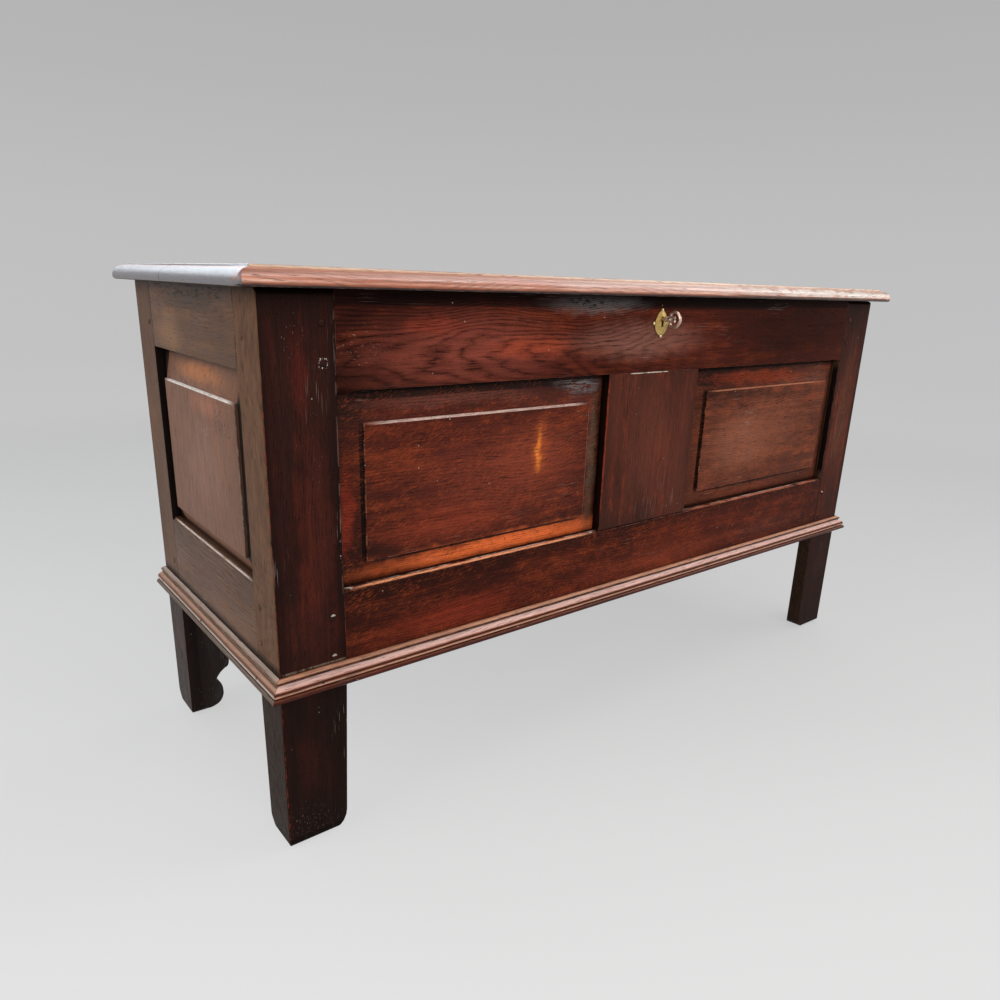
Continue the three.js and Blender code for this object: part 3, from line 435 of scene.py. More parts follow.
# A board's directions and the noises drawn out along them. axes says which way the grain runs,
# then across the face, then into it.
class Board:
    def __init__(self, name, axes, middle, seed, offsets=6):
        self.finish = Finish(name)
        self.middle = middle
        self.rand = random.Random(seed)
        self.far = [self.rand.uniform(-40, 40) for _ in range(offsets)]
        self.where = self.finish.place()
        spot = self.finish.split(self.finish.vectors("SUBTRACT", self.where, tuple(middle)))
        self.ways = {"x": spot, "y": spot.also("Y"), "z": spot.also("Z")}
        self.along, self.across, self.deep = (self.ways[axis] for axis in axes)

    def start(self, shift):
        return [self.far[(shift + step) % len(self.far)] for step in range(3)]

    def noise(self, lengthwise, crosswise, shift, detail, roughness):
        first, second, third = self.start(shift)
        place = self.finish.point(
            self.along * lengthwise + first,
            self.across * crosswise + second,
            self.deep * crosswise + third,
        )
        return self.finish.noise(place, detail, roughness)

    def named(self, name):
        return self.noise(*boardNoises[name])

    # Rings round the heart, 1 in each dark line
    def rings(self, sideways, depth, gap):
        radius = self.finish.maths("SQRT", sideways * sideways + depth * depth)
        turn = self.finish.maths("FRACT", radius / gap)
        return (self.finish.maths("ABSOLUTE", turn - 0.5) * 2) ** 2.2


# A board whose noises start close together.
class DryBoard(Board):
    def start(self, shift):
        first, second, third = self.far
        return first, second + shift, third


# Growth rings round a heart that wanders along the board, and the rest of the grain.
def readGrain(board, plan, heart):
    wander, ripple = board.named("wander"), board.named("ripple")
    slope = board.rand.uniform(-0.05, 0.05)
    sideways = board.across - heart[0] + (wander - 0.5) * 0.15
    depth = board.deep - heart[1] + (ripple - 0.5) * plan["ringWave"] + board.along * slope
    board.ring = board.rings(sideways, depth, plan["ringGap"])
    board.fibre, board.streak = board.named("fibre"), board.named("streak")
    board.pore = board.named("dots").over(0.55, 0.66) * (board.ring * 0.7 + 0.3)
    board.patch, board.cloud = board.named("patch"), board.named("cloud")


# Night, base, glow and fire. Old polish lies dark along the joints, and wears off the middle.
def polish(board, plan, half):
    finish, patch, cloud, streak = board.finish, board.patch, board.cloud, board.streak
    glowing = (patch * 0.55 + cloud * 0.3 + streak * 0.25).over(*plan["glowRange"])
    colour = finish.blend(board.named("grime").over(*plan["nightRange"]), plan["night"], plan["base"])
    colour = finish.blend(glowing * plan["glowAmount"], colour, plan["glow"])
    colour = finish.blend(glowing * (cloud * streak).over(0.2, 0.42) * 0.35, colour, plan["fire"])
    if plan["edgeAmount"]:
        nearEnd = (finish.maths("ABSOLUTE", board.along) - half[0]) / plan["edgeReach"][0]
        nearEdge = (finish.maths("ABSOLUTE", board.across) - half[1]) / plan["edgeReach"][1]
        nearer = finish.maths("MAXIMUM", nearEnd, nearEdge) + (patch - 0.5) * 1.5 + (cloud - 0.5) * 0.5
        colour = finish.blend(nearer.over(-1.6, 0.3) * plan["edgeAmount"], colour, plan["night"])
    return colour


# Colours by height: painted highlights and painted shade, but not on flat tops.
def banded(board, bands, colour):
    finish = board.finish
    waver = (board.cloud - 0.5) * 0.0012 + (board.streak - 0.5) * bands["waver"]
    level = (board.ways["z"] + (board.middle[2] - bands["from"]) + waver) / (bands["to"] - bands["from"])
    amount = finish.facing().also("Z").under(0.95, 0.995) * bands["amount"]
    amount = amount * (0.8 + 0.2 * board.patch.over(0.35, 0.6))
    return finish.blend(amount, colour, finish.ramp(bands["stops"], level))


# Soft marks are read through a warped place, crisp ones as they are.
def marked(board, marks, colour):
    finish = board.finish
    warped = finish.noise(board.where, detail=3.0, roughness=0.6, scale=34.0, out="Color")
    shift = finish.vectors("SUBTRACT", warped, (0.5, 0.5, 0.5))
    loose = finish.vectors("ADD", board.where, finish.vectors("MULTIPLY", shift, (0.03, 0.03, 0.03)))
    for each in marks:
        amount = finish.mask(board.where if each["sharp"] else loose, each) * each["amount"]
        if each["broken"]:
            lengthwise, crosswise, low, high = each["broken"]
            amount = amount * board.noise(lengthwise, crosswise, 2, 3, 0.7).over(low, high)
        elif not each["sharp"]:
            amount = amount * (0.55 + 0.9 * (board.streak - 0.2))
        colour = finish.blend(amount, colour, each["colour"])
    return colour


# Rings, fibres, rays and pores. clear is how much of the grain shows.
def grained(board, plan, clear, colour):
    finish = board.finish
    strong = board.patch * 1.6 + 0.2
    if plan["ringFade"]:
        strong = strong * (0.2 + 0.8 * board.along.under(*plan["ringFade"]))
    shade = board.ring * plan["ringDepth"] * strong + (board.fibre - 0.5) * plan["fibreDepth"] * 1.5
    shade = 1.06 - (shade + (board.named("grit") - 0.5) * plan["gritDepth"]) * clear
    colour = finish.blend(1.0, colour, finish.point(shade, shade, shade), "MULTIPLY")
    if plan["rayTurn"] is not None:
        turn = math.radians(plan["rayTurn"])
        lengthwise = (board.along * math.cos(turn) + board.across * math.sin(turn)) * 150.0
        crosswise = (board.across * math.cos(turn) - board.along * math.sin(turn)) * 760.0
        ray = finish.noise(finish.point(lengthwise, crosswise, board.deep * 60.0), distortion=0.4)
        bright = ray.over(0.52, 0.66) * board.cloud.over(0.35, 0.6) * plan["rayAmount"]
        colour = finish.blend(bright, colour, plan["fire"])
        colour = finish.blend(ray.under(0.32, 0.45) * plan["rayAmount"] * 0.8, colour, plan["night"])
    return finish.blend(board.pore * plan["poreDepth"], colour, plan["pore"])


# Rubbed edges, scratches, specks, and darkening in the corners: grime there, and painted shade.
def handled(board, plan, colour):
    finish = board.finish
    rubbed = finish.worn() * board.named("rub").over(0.45, 0.62)
    colour = finish.blend(rubbed * plan["wearAmount"], colour, plan["wear"])
    scratch = board.named("hairs").over(0.68, 0.72) * board.named("hairPlaces").over(0.55, 0.7)
    colour = finish.blend(scratch * plan["scratches"], colour, plan["speck"])
    dust = finish.node("TexVoronoi", {}, {"Vector": board.where, "Scale": 110.0}, out="Distance")
    chosen = finish.node("SeparateColor", {}, {0: dust.also("Color")}).over(0.95, 0.97)
    colour = finish.blend(dust.under(0.05, 0.12) * chosen * 0.6, colour, plan["speck"])
    # darker within reach of other faces: grime in the corners and painted shade
    return finish.blend(finish.openness(0.011).under(0.4, 0.82) * plan["dirt"], colour, plan["pore"])


# 1 on the faces that were never polished.
def unpolished(board, axis, side, limit, behind=None):
    facing, place = board.finish.facing().also(axis), board.finish.split(board.where)
    if side > 0:
        dry = facing.over(0.9, 0.97) * place.also(axis).over(limit - 0.002, limit)
    else:
        dry = facing.under(-0.97, -0.9) * place.also(axis).under(limit, limit + 0.002)
    if behind is not None:
        dry = dry * place.also("Y").over(behind - 0.001, behind)
    return dry


# Bare oak where no polish ever came: inside, underneath and behind.
def bareOak(board):
    finish = board.finish
    colour = finish.blend(board.named("rawPatch").over(0.35, 0.65), tint(78, 56, 40), tint(126, 96, 68))
    colour = finish.blend(board.ring * 0.35 + board.pore * 0.5, colour, tint(52, 36, 26))
    return finish.blend(board.fibre.over(0.5, 0.75) * 0.4, colour, tint(60, 42, 30))


# half is the piece's half size along the grain and across it.
def oak(name, axes, middle, half, seed, look, heart=(0.03, 0.09), marks=(), inside=None):
    plan = {**polishedOak, **look}
    board = Board(name, axes, middle, seed)
    finish = board.finish
    readGrain(board, plan, heart)
    colour = polish(board, plan, half)
    if plan["bands"]:
        colour = banded(board, plan["bands"], colour)
    clear = 1.0
    # The narrow sides take tints by which way they face, with little grain: painted light and shade, on the
    # stiles partly the faded colour of the ends.
    if plan["sideLightAndShadeTints"]:  # the narrow sides show the finish of the ends, with little grain
        turned = finish.maths("ABSOLUTE", finish.facing()).over(*plan["sideRange"])
        colour = finish.blend(turned, colour, finish.blend(board.cloud.over(0.3, 0.7), *plan["sideLightAndShadeTints"]))
        clear = 1 - turned * 0.7
    if marks:
        colour = marked(board, marks, colour)
    colour = handled(board, plan, grained(board, plan, clear, colour))
    rough = plan["roughness"] + (board.cloud - 0.5) * 0.24 + board.pore * 0.2
    coat = plan["coat"]
    if inside:
        dry = unpolished(board, *inside)
        colour = finish.blend(dry, colour, bareOak(board))
        rough = rough + dry * (0.82 - rough)
        if coat:
            coat = (1 - dry) * coat
    height = board.fibre * 0.4 - board.ring * 0.25 - board.pore * 0.8 + board.cloud * 1.6 + board.patch * 3.0
    values = {
        "Base Color": colour,
        "Roughness": rough,
        "Specular IOR Level": plan["sheen"],
        "Coat Weight": coat,
        "Coat Roughness": 0.2,
        "Coat IOR": 1.45,
    }
    return finish.surface(values, finish.relief(plan["bump"], 0.0004, height))


# Boards that never show: nailed on rough, then gone brown with age.
def dryOak(name, axes, middle, seed):
    board = DryBoard(name, axes, middle, seed, offsets=3)
    finish = board.finish
    sideways = board.across - 0.02 + (board.named("sawnRings") - 0.5) * 0.12
    board.ring = board.rings(sideways, board.deep - 0.08, 0.004)
    board.fibre = board.named("fibre")
    board.pore = board.named("dots").over(0.57, 0.66)
    saw = finish.noise(finish.point(board.along * 160.0, board.across * 9.0, board.deep * 9.0))
    colour = finish.blend(board.named("stain").over(0.5, 0.7) * 0.5, bareOak(board), tint(64, 46, 34))
    # darker within 2 cm of other faces: grime in the corners and painted shade
    colour = finish.blend(finish.openness(0.02).under(0.4, 0.9) * 0.7, colour, tint(34, 24, 18))
    values = {"Base Color": colour, "Roughness": 0.78 + board.pore * 0.15, "Specular IOR Level": 0.2}
    return finish.surface(values, finish.relief(0.6, 0.0006, board.fibre + saw * 0.7 - board.pore))


bodyOf = {}
for body, members in frame["record"]["behaviour"]["bodies"].items():
    for member in members:
        bodyOf[member] = body


def pieceName(nodeName):
    first, *rest = nodeName.split("_")
    return first + "".join(part.capitalize() for part in rest)


# Cuts the edge between a foot's sole and one of its sides to a round.
def roundSole(mesh, axis, side, limit, radius, steps=7):
    for step in range(steps):
        turn = math.radians(90 * (step + 0.5) / steps)
        way = Vector((0, 0, -math.cos(turn)))
        way[axis] = side * math.sin(turn)
        place = Vector((0, 0, radius - radius * math.cos(turn)))
        place[axis] = limit - side * radius * (1 - math.sin(turn))
        whole = mesh.verts[:] + mesh.edges[:] + mesh.faces[:]
        made = bmesh.ops.bisect_plane(mesh, geom=whole, plane_co=place, plane_no=way, clear_outer=True)
        rim = [item for item in made["geom_cut"] if isinstance(item, bmesh.types.BMEdge)]
        bmesh.ops.edgeloop_fill(mesh, edges=[edge for edge in rim if edge.is_boundary])
    bmesh.ops.recalc_face_normals(mesh, faces=mesh.faces)


# What is done to the copy of any node: points closer than weld are merged (metres), faces flat
# within flat are joined, edges turned more than sharp are worn, the rest is smooth (degrees).
dressing = {"weld": 0.00001, "flat": 0.4, "sharp": 34, "smooth": 38}


# Wears the edges round. The faces of the rounds carry 1 in "worn".
def wearEdges(mesh, worn, width, segments, least):
    edges = [
        edge
        for edge in mesh.edges
        if len(edge.link_faces) == 2
        and edge.is_convex
        and edge.calc_length() > least
        and edge.calc_face_angle(0) > math.radians(dressing["sharp"])
    ]
    made = bmesh.ops.bevel(
        mesh,
        geom=edges,
        offset=width,
        offset_type="OFFSET",
        segments=segments,
        profile=0.5,
        affect="EDGES",
        clamp_overlap=True,
    )
    for face in made["faces"]:
        face[worn] = 1.0


# Moves the points before a place on Y outwards, but not past the limit.
def thicken(mesh, swell):
    mesh.normal_update()
    before = [vert for vert in mesh.verts if vert.co.y < swell["before"]]
    places = [vert.co + vert.normal * swell["by"] for vert in before]
    for vert, place in zip(before, places):
        place.y = max(place.y, swell["limit"])
        vert.co = place


# A copy of the node with its edges worn round, its soles too, and thicker where it swells.
def dressed(nodeName, width, segments=2, least=0.006, swell=None, foot=()):
    mesh = bmesh.new()
    mesh.from_mesh(nodes[nodeName].data)
    bmesh.ops.remove_doubles(mesh, verts=mesh.verts, dist=dressing["weld"])
    flat = math.radians(dressing["flat"])
    bmesh.ops.dissolve_limit(mesh, angle_limit=flat, verts=mesh.verts, edges=mesh.edges)
    worn = mesh.faces.layers.float.new("worn")
    for sole in foot:
        roundSole(mesh, *sole)
    if width:
        wearEdges(mesh, worn, width, segments, least)
    if swell:
        thicken(mesh, swell)
    data = bpy.data.meshes.new(pieceName(nodeName))
    bmesh.ops.triangulate(mesh, faces=[face for face in mesh.faces if len(face.verts) > 4])
    mesh.to_mesh(data)
    mesh.free()
    data.shade_smooth()
    data.set_sharp_from_angle(angle=math.radians(dressing["smooth"]))
    piece = added(pieceName(nodeName), data)
    modifier = piece.modifiers.new("weights", "WEIGHTED_NORMAL")
    modifier.keep_sharp = True
    return baked(piece)


# The piece as its modifiers leave it, as a plain mesh.
def baked(piece):
    graph = bpy.context.evaluated_depsgraph_get()
    solid = piece.evaluated_get(graph)
    data = bpy.data.meshes.new_from_object(solid, preserve_all_data_layers=True, depsgraph=graph)
    data.name = piece.data.name
    piece.modifiers.clear()
    piece.data = data
    return piece


def settle(piece, nodeName, material):
    piece.data.materials.clear()
    piece.data.materials.append(material)
    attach(piece, bodyOf[nodeName])
    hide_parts(nodeName)


# Where the front of the frames is on Y, and the left end of the carcass on X
frontFace = -0.2115
leftFace = -0.610

# The narrow sides' tints: oliveSides partly the faded end colour and partly painted light, blackSides painted
# shade.
oliveSides = (tint(84, 62, 47), tint(103, 78, 59))
blackSides = (tint(20, 12, 10), tint(34, 17, 13))

# Darker along the top of the end mouldings, where they meet the carcass
endMouldingTopDark = [
    strip((leftFace, 0, 0.244), (0.002, 0, 0.0085), (30, 17, 12), 0.5),
    strip((leftFace, 0, 0.2425), (0.002, 0, 0.0042), (24, 13, 10), 0.8),
]

# Each polished piece: grain axes, where the heart lies across and into it, its look and its marks.
oakPieces = {
    "front_left_stile": {
        "axes": "zxy",
        "heart": (0.1, 0.02),
        "look": {
            # its left side olive brown: partly the faded end colour, partly painted light
            **blackOak, "sideLightAndShadeTints": (tint(87, 61, 45), tint(107, 77, 57)),
            "edgeReach": (0.06, 0.014), "sheen": 0.035,
        },
        "marks": [
            mark((-0.566, 0, 0.585), (0.013, 0, 0.07), (84, 31, 25), 0.6),
            mark((-0.554, 0, 0.42), (0.026, 0, 0.16), (74, 34, 26), 0.8),
            strip((-0.548, 0, 0.085), (0.0612, 0, 0.14), (27, 17, 14), 0.8),
            strip((leftFace, 0, 0.085), (0.002, 0, 0.14), (30, 16, 9), 0.93),
            *endMouldingTopDark,
            mark((-0.567, 0, 0.275), (0.043, 0, 0.06), (44, 24, 20), 0.6),
            strip((-0.567, 0, 0.2425), (0.045, 0, 0.0016), (150, 130, 112), 0.45, (60, 90, 0.35, 0.55)),
            mark((-0.58, frontFace, 0.11), (0.02, 0.02, 0.06), (60, 27, 21), 0.6),
            mark((-0.574, 0, 0.625), (0.022, 0, 0.036), (196, 190, 190), 0.55, (150, 900, 0.67, 0.71)),
            mark((-0.56, 0, 0.5), (0.045, 0, 0.16), (150, 138, 130), 0.5, (120, 1000, 0.68, 0.72)),
            mark((-0.6, -0.2, 0.02), (0.1, 0.06, 0.05), (140, 128, 114), 0.55, (260, 460, 0.62, 0.67)),
            strip((-0.54, 0, 0.596), (0.0056, 0, 0.0062), (214, 206, 192), 0.8, (420, 420, 0.54, 0.6)),
            strip((-0.5262, 0, 0.49), (0.0008, 0, 0.18), (104, 80, 70), 0.7, (40, 90, 0.42, 0.56)),
            strip(
                (leftFace, frontFace, 0.27), (0.0015, 0.0015, 0.36),
                (116, 44, 30), 0.85, (120, 300, 0.48, 0.56),
            ),
            strip((0, -0.181, 0.0), (0, 0.05, 0.014), (14, 9, 8), 0.8),
        ],
    },
    "front_right_stile": {
        "axes": "zxy",
        "heart": (0.1, 0.02),
        "look": {
            "base": tint(70, 36, 27), "sideLightAndShadeTints": oliveSides, "glowAmount": 0.4,
            "edgeReach": (0.08, 0.01), "sheen": 0.03,
        },
        "marks": [
            mark((0.57, 0, 0.46), (0.035, 0, 0.2), (96, 56, 41), 0.6),
            strip((0, 0, 0.085), (0, 0, 0.14), (30, 17, 14), 0.7),
            # painted shade on the stile's inner edge, in the panel's reveal
            strip((0.525, -0.2085, 0.448), (0.0015, 0.008, 0.118), (22, 12, 10), 0.97),
        ],
    },
    "rear_left_stile": {
        "axes": "zyx",
        "heart": (0.1, 0.02),
        "look": {**oliveOak, "edgeReach": (0.05, 0.01), "sheen": 0.08},
        "marks": [
            # painted shadow on the lower leg, under the chest
            strip((-0.54, 0, 0.06), (0.069, 0, 0.21), (29, 18, 14), 0.88),
            strip((-0.6, 0, 0.06), (0.0095, 0, 0.21), (26, 15, 12), 0.9),
            strip((leftFace, 0, 0.085), (0.002, 0, 0.14), (34, 14, 5), 0.92),
            *endMouldingTopDark,
            mark((leftFace, 0.2, 0.13), (0.006, 0.04, 0.04), (76, 34, 26), 0.5),
            mark((leftFace, 0.2, 0.02), (0.1, 0.1, 0.05), (140, 128, 114), 0.5, (260, 460, 0.62, 0.67)),
            # painted shade on the stile's edge beside the panel's groove
            strip((-0.606, 0.1665, 0.4625), (0.02, 0.0015, 0.15), (20, 14, 12), 0.97),
        ],
    },
    "rear_right_stile": {
        "axes": "zyx",
        "heart": (0.1, 0.02),
        "look": oliveOak,
        "marks": [mark((0, 0, 0.02), (0, 0, 0.3), (29, 18, 14), 0.9)],
    },
    "front_top_rail": {
        "axes": "xzy",
        "heart": (-0.015, 0.06),
        "look": {
            "ringGap": 0.0021, "ringDepth": 0.48, "ringFade": (-0.12, 0.16), "glowAmount": 0.3,
            "edgeReach": (0.1, 0.02), "edgeAmount": 0.3, "sheen": 0.02, "ringWave": 0.009,
        },
        "marks": [
            mark((-0.35, 0, 0.604), (0.21, 0, 0.068), (132, 66, 53), 0.88),
            mark((-0.25, 0, 0.606), (0.095, 0, 0.019), (166, 72, 46), 0.6),
            mark((-0.4, 0, 0.634), (0.06, 0, 0.016), (156, 60, 40), 0.5),
            mark((-0.04, 0, 0.612), (0.19, 0, 0.038), (136, 90, 77), 0.85),
            mark((0.36, 0, 0.622), (0.34, 0, 0.09), (32, 11, 6), 0.92),
            # painted shadow under the lid
            strip((-0.15, 0, 0.672), (0.5, 0, 0.018), (20, 13, 12), 0.72),
            strip((0.2, 0, 0.672), (0.4, 0, 0.014), (14, 8, 4), 0.7),
            # painted sheen, grey, just under the lid
            mark((-0.13, 0, 0.662), (0.13, 0, 0.02), (112, 106, 104), 0.7),
            mark((-0.49, 0, 0.615), (0.045, 0, 0.03), (212, 204, 194), 0.75, (260, 640, 0.645, 0.68)),
            mark((-0.15, 0, 0.664), (0.08, 0, 0.01), (20, 14, 12), 0.8, (90, 160, 0.5, 0.6)),
        ],
    },
    "front_bottom_rail": {
        "axes": "xzy",
        "heart": (0.11, 0.03),
        "look": {
            "rayTurn": 24, "rayAmount": 0.4, "glowAmount": 0.5, "edgeReach": (0.08, 0.018),
            "sheen": 0.03,
        },
        "marks": [
            mark((-0.36, 0, 0.262), (0.15, 0, 0.03), (132, 50, 32), 0.75),
            mark((0.05, 0, 0.262), (0.26, 0, 0.028), (118, 52, 36), 0.6),
            mark((0.36, 0, 0.262), (0.16, 0, 0.028), (84, 44, 36), 0.6),
            # the ledge's arris rubbed pale, with painted highlights
            strip(
                (-0.3125, -0.2105, 0.3305), (0.2115, 0.003, 0.0016),
                (222, 146, 106), 0.95, (30, 90, 0.2, 0.42),
            ),
            strip(
                (0.3125, -0.2105, 0.3305), (0.2115, 0.003, 0.0014),
                (172, 94, 66), 0.85, (30, 90, 0.3, 0.5),
            ),
            strip((0, -0.206, 0.331), (0.525, 0.002, 0.0012), (196, 176, 160), 0.75, (30, 90, 0.35, 0.55)),
            # painted glints on the ledge
            mark((-0.518, -0.209, 0.331), (0.009, 0.006, 0.003), (232, 226, 216), 0.9),
            mark((-0.112, -0.209, 0.331), (0.01, 0.006, 0.003), (216, 206, 194), 0.8),
            mark((0.515, -0.209, 0.331), (0.012, 0.006, 0.003), (190, 160, 140), 0.8),
        ],
    },
    "front_muntin": {
        "axes": "zxy",
        "heart": (0.16, 0.05),
        "look": {
            # its sides nearly black: painted shade
            "base": tint(82, 42, 31), "glowAmount": 0.3, "edgeAmount": 0.4, "ringDepth": 0.15,
            "fibreDepth": 0.45, "sideLightAndShadeTints": blackSides,
        },
        "marks": [
            mark((0.0, 0, 0.45), (0.07, 0, 0.12), (102, 52, 38), 0.7),
            strip((-0.014, 0, 0.5643), (0.045, 0, 0.0011), (214, 202, 184), 0.9, (90, 90, 0.3, 0.5)),
            strip((-0.099, frontFace, 0.46), (0.0022, 0.0012, 0.11), (142, 50, 30), 0.7, (40, 90, 0.35, 0.6)),
        ],
    },
    "front_left_panel": {
        "axes": "xzy",
        "heart": (0.2, 0.04),
        "look": {
            "rayTurn": 26, "rayAmount": 0.42, "ringDepth": 0.16, "edgeReach": (0.034, 0.03),
            "glowAmount": 0.6, "dirt": 0.3,
        },
        "marks": [
            mark((-0.29, 0, 0.445), (0.2, 0, 0.085), (116, 52, 38), 0.75),
            mark((-0.235, 0, 0.46), (0.1, 0, 0.06), (142, 66, 44), 0.6),
            mark((-0.38, 0, 0.388), (0.13, 0, 0.034), (136, 56, 36), 0.75),
            mark((-0.223, 0, 0.47), (0.022, 0, 0.05), (176, 84, 44), 0.7),
            mark((-0.2235, 0, 0.468), (0.0085, 0, 0.042), (236, 132, 54), 1.0),
            mark((-0.27, 0, 0.342), (0.3, 0, 0.024), (244, 118, 62), 1.0),
            mark((-0.505, 0, 0.545), (0.035, 0, 0.032), (22, 15, 12), 0.9),
            mark((-0.513, 0, 0.42), (0.012, 0, 0.075), (132, 46, 30), 0.85),
            mark((-0.36, 0, 0.548), (0.18, 0, 0.015), (106, 64, 54), 0.75),
            # painted shadow under the top rail
            strip((-0.31, 0, 0.561), (0.215, 0, 0.01), (20, 14, 12), 0.8),
            # painted sheen, grey, on the top border
            mark((-0.15, 0, 0.555), (0.06, 0, 0.018), (112, 112, 112), 0.85, (60, 420, 0.4, 0.56)),
            mark((-0.116, 0, 0.44), (0.018, 0, 0.14), (92, 73, 58), 0.95),
            mark((-0.115, 0, 0.44), (0.016, 0, 0.11), (128, 118, 106), 0.6, (500, 120, 0.58, 0.66)),
            mark((-0.3, 0, 0.347), (0.2, 0, 0.013), (60, 24, 16), 0.7, (320, 130, 0.6, 0.65)),
            # painted shadows: beside the field's left edge, under its lower edge, and under the top rail
            strip((-0.4936, -0.2058, 0.443), (0.0027, 0.003, 0.092), (14, 9, 8), 0.97),
            strip((-0.31, 0, 0.3568), (0.186, 0, 0.0024), (26, 12, 9), 0.92),
            strip((-0.31, 0, 0.5625), (0.215, 0, 0.004), (20, 13, 11), 0.9),
            # the field's arrises rubbed pale, with painted highlights
            strip((-0.3125, 0, 0.5258), (0.1795, 0, 0.0015), (206, 176, 164), 0.95, (60, 110, 0.1, 0.4)),
            strip((-0.1335, 0, 0.443), (0.0009, 0, 0.082), (150, 104, 86), 0.8, (60, 110, 0.3, 0.5)),
        ],
    },
    "front_right_panel": {
        "axes": "xzy",
        "heart": (0.2, 0.04),
        "look": {
            "base": tint(92, 50, 37), "glow": tint(136, 78, 56), "rayTurn": 20,
            "rayAmount": 0.3, "sheen": 0.03, "ringDepth": 0.2, "fibreDepth": 0.5,
            "edgeReach": (0.034, 0.03), "edgeAmount": 0.6,
        },
        "marks": [
            mark((0.3, 0, 0.45), (0.17, 0, 0.085), (136, 80, 60), 0.7),
            mark((0.24, 0, 0.43), (0.12, 0, 0.07), (156, 98, 74), 0.5),
            mark((0.29, 0, 0.543), (0.2, 0, 0.017), (130, 48, 20), 0.85),
            # painted shadows: beside the field's left edge, under its lower edge, and under the top rail
            strip((0.1314, -0.2058, 0.443), (0.0027, 0.003, 0.092), (16, 9, 8), 0.96),
            strip((0.312, 0, 0.3568), (0.186, 0, 0.0024), (30, 15, 11), 0.85),
            strip((0.312, 0, 0.5625), (0.215, 0, 0.004), (22, 13, 10), 0.9),
            mark((0.28, 0, 0.343), (0.17, 0, 0.012), (124, 64, 46), 0.7),
            mark((0.24, 0, 0.5), (0.05, 0, 0.012), (48, 24, 18), 0.6, (60, 120, 0.5, 0.6)),
            # the field's top arris rubbed pale, with a painted highlight
            strip((0.3125, 0, 0.5262), (0.1795, 0, 0.0012), (176, 112, 84), 0.85, (60, 110, 0.2, 0.45)),
        ],
    },
    "left_top_rail": {
        "axes": "yzx",
        "heart": (0.055, 0.03),
        "look": {
            **oliveOak, "ringGap": 0.0034, "ringDepth": 0.18, "fibreDepth": 0.34,
            "gritDepth": 0.5, "edgeReach": (0.03, 0.012),
        },
        "marks": [
            mark((0, 0.09, 0.61), (0, 0.07, 0.035), (136, 100, 68), 0.7),
            # painted shade under the lid
            mark((0, 0, 0.65), (0, 0.13, 0.016), (60, 48, 38), 0.7),
            strip((0, 0, 0.664), (0, 0.13, 0.008), (26, 22, 20), 0.9, (60, 260, 0.5, 0.58)),
            *(
                strip((0, y, 0.63), (0, 0.0022, 0.045), (22, 16, 13), 0.95, (90, 75, 0.42, 0.52))
                for y in (-0.1475, 0.1655)
            ),
        ],
    },
    "left_bottom_rail": {
        "axes": "yzx",
        "heart": (0.08, 0.03),
        "look": {**oliveOak, "base": tint(109, 79, 63), "edgeReach": (0.04, 0.012)},
        "marks": [
            # the rail's top arris rubbed pale, with a painted highlight
            strip((-0.609, 0.01, 0.338), (0.003, 0.156, 0.0014), (200, 184, 172), 0.9, (40, 80, 0.25, 0.45)),
            mark((0, 0.08, 0.276), (0, 0.03, 0.01), (30, 22, 18), 0.8, (180, 180, 0.56, 0.62)),
            *endMouldingTopDark,
        ],
    },
    "left_panel": {
        "axes": "zyx",
        "heart": (0.03, 0.25),
        "look": {
            **oliveOak, "base": tint(112, 77, 60), "glow": tint(134, 93, 72),
            "fibreDepth": 0.45, "ringDepth": 0.12, "edgeReach": (0.02, 0.02), "edgeAmount": 0.3,
        },
        "marks": [
            mark((0, 0.01, 0.45), (0, 0.11, 0.085), (136, 100, 84), 0.6),
            mark((0, 0.02, 0.565), (0, 0.12, 0.018), (168, 104, 59), 0.95),
            mark((0, -0.02, 0.53), (0, 0.09, 0.022), (164, 104, 80), 0.6),
            strip((0, -0.0725, 0.52), (0, 0.03, 0.022), (40, 28, 23), 0.9, (230, 420, 0.55, 0.6)),
            mark((0, -0.01, 0.497), (0, 0.016, 0.01), (190, 168, 154), 0.7, (230, 230, 0.55, 0.62)),
            mark((0, -0.03, 0.42), (0, 0.1, 0.06), (44, 32, 28), 0.8, (260, 260, 0.66, 0.7)),
            # the field's top arris rubbed pale, with a painted highlight
            strip((0, 0.0125, 0.5438), (0, 0.133, 0.0015), (216, 208, 200), 0.95, (110, 60, 0.1, 0.35)),
            # painted shadows beside the field, in the bevel and the groove
            strip((-0.5992, -0.1352, 0.448), (0.0072, 0.0164, 0.118), (18, 13, 10), 0.98),
            strip((-0.5992, 0.1582, 0.4625), (0.0072, 0.014, 0.15), (22, 14, 12), 0.96),
        ],
    },
    "right_top_rail": {"axes": "yzx", "heart": (0.0, 0.06), "look": oliveOak},
    "right_bottom_rail": {"axes": "yzx", "heart": (0.08, 0.03), "look": oliveOak},
    "right_panel": {"axes": "zyx", "heart": (0.03, 0.25), "look": {**oliveOak, "base": tint(108, 82, 68)}},
    "lid_front_board": {
        "axes": "xyz",
        "heart": (0.07, 0.08),
        "look": lidOak,
        "marks": [
            # painted reflection, pale, along the right of the edge
            mark((0.42, -0.236, 0.684), (0.42, 0.02, 0.01), (206, 202, 192), 0.86),
            strip((-0.42, -0.236, 0.6882), (0.24, 0.02, 0.0018), (134, 80, 60), 0.55, (4, 300, 0.3, 0.5)),
            strip((-0.42, -0.236, 0.6818), (0.22, 0.02, 0.0014), (156, 100, 80), 0.5, (4, 300, 0.3, 0.5)),
            strip((0.38, -0.236, 0.6738), (0.26, 0.02, 0.0046), (92, 60, 42), 0.85, (20, 120, 0.22, 0.42)),
            strip((0.0, -0.236, 0.683), (0.64, 0.02, 0.01), (150, 82, 56), 0.6, (5, 420, 0.52, 0.62)),
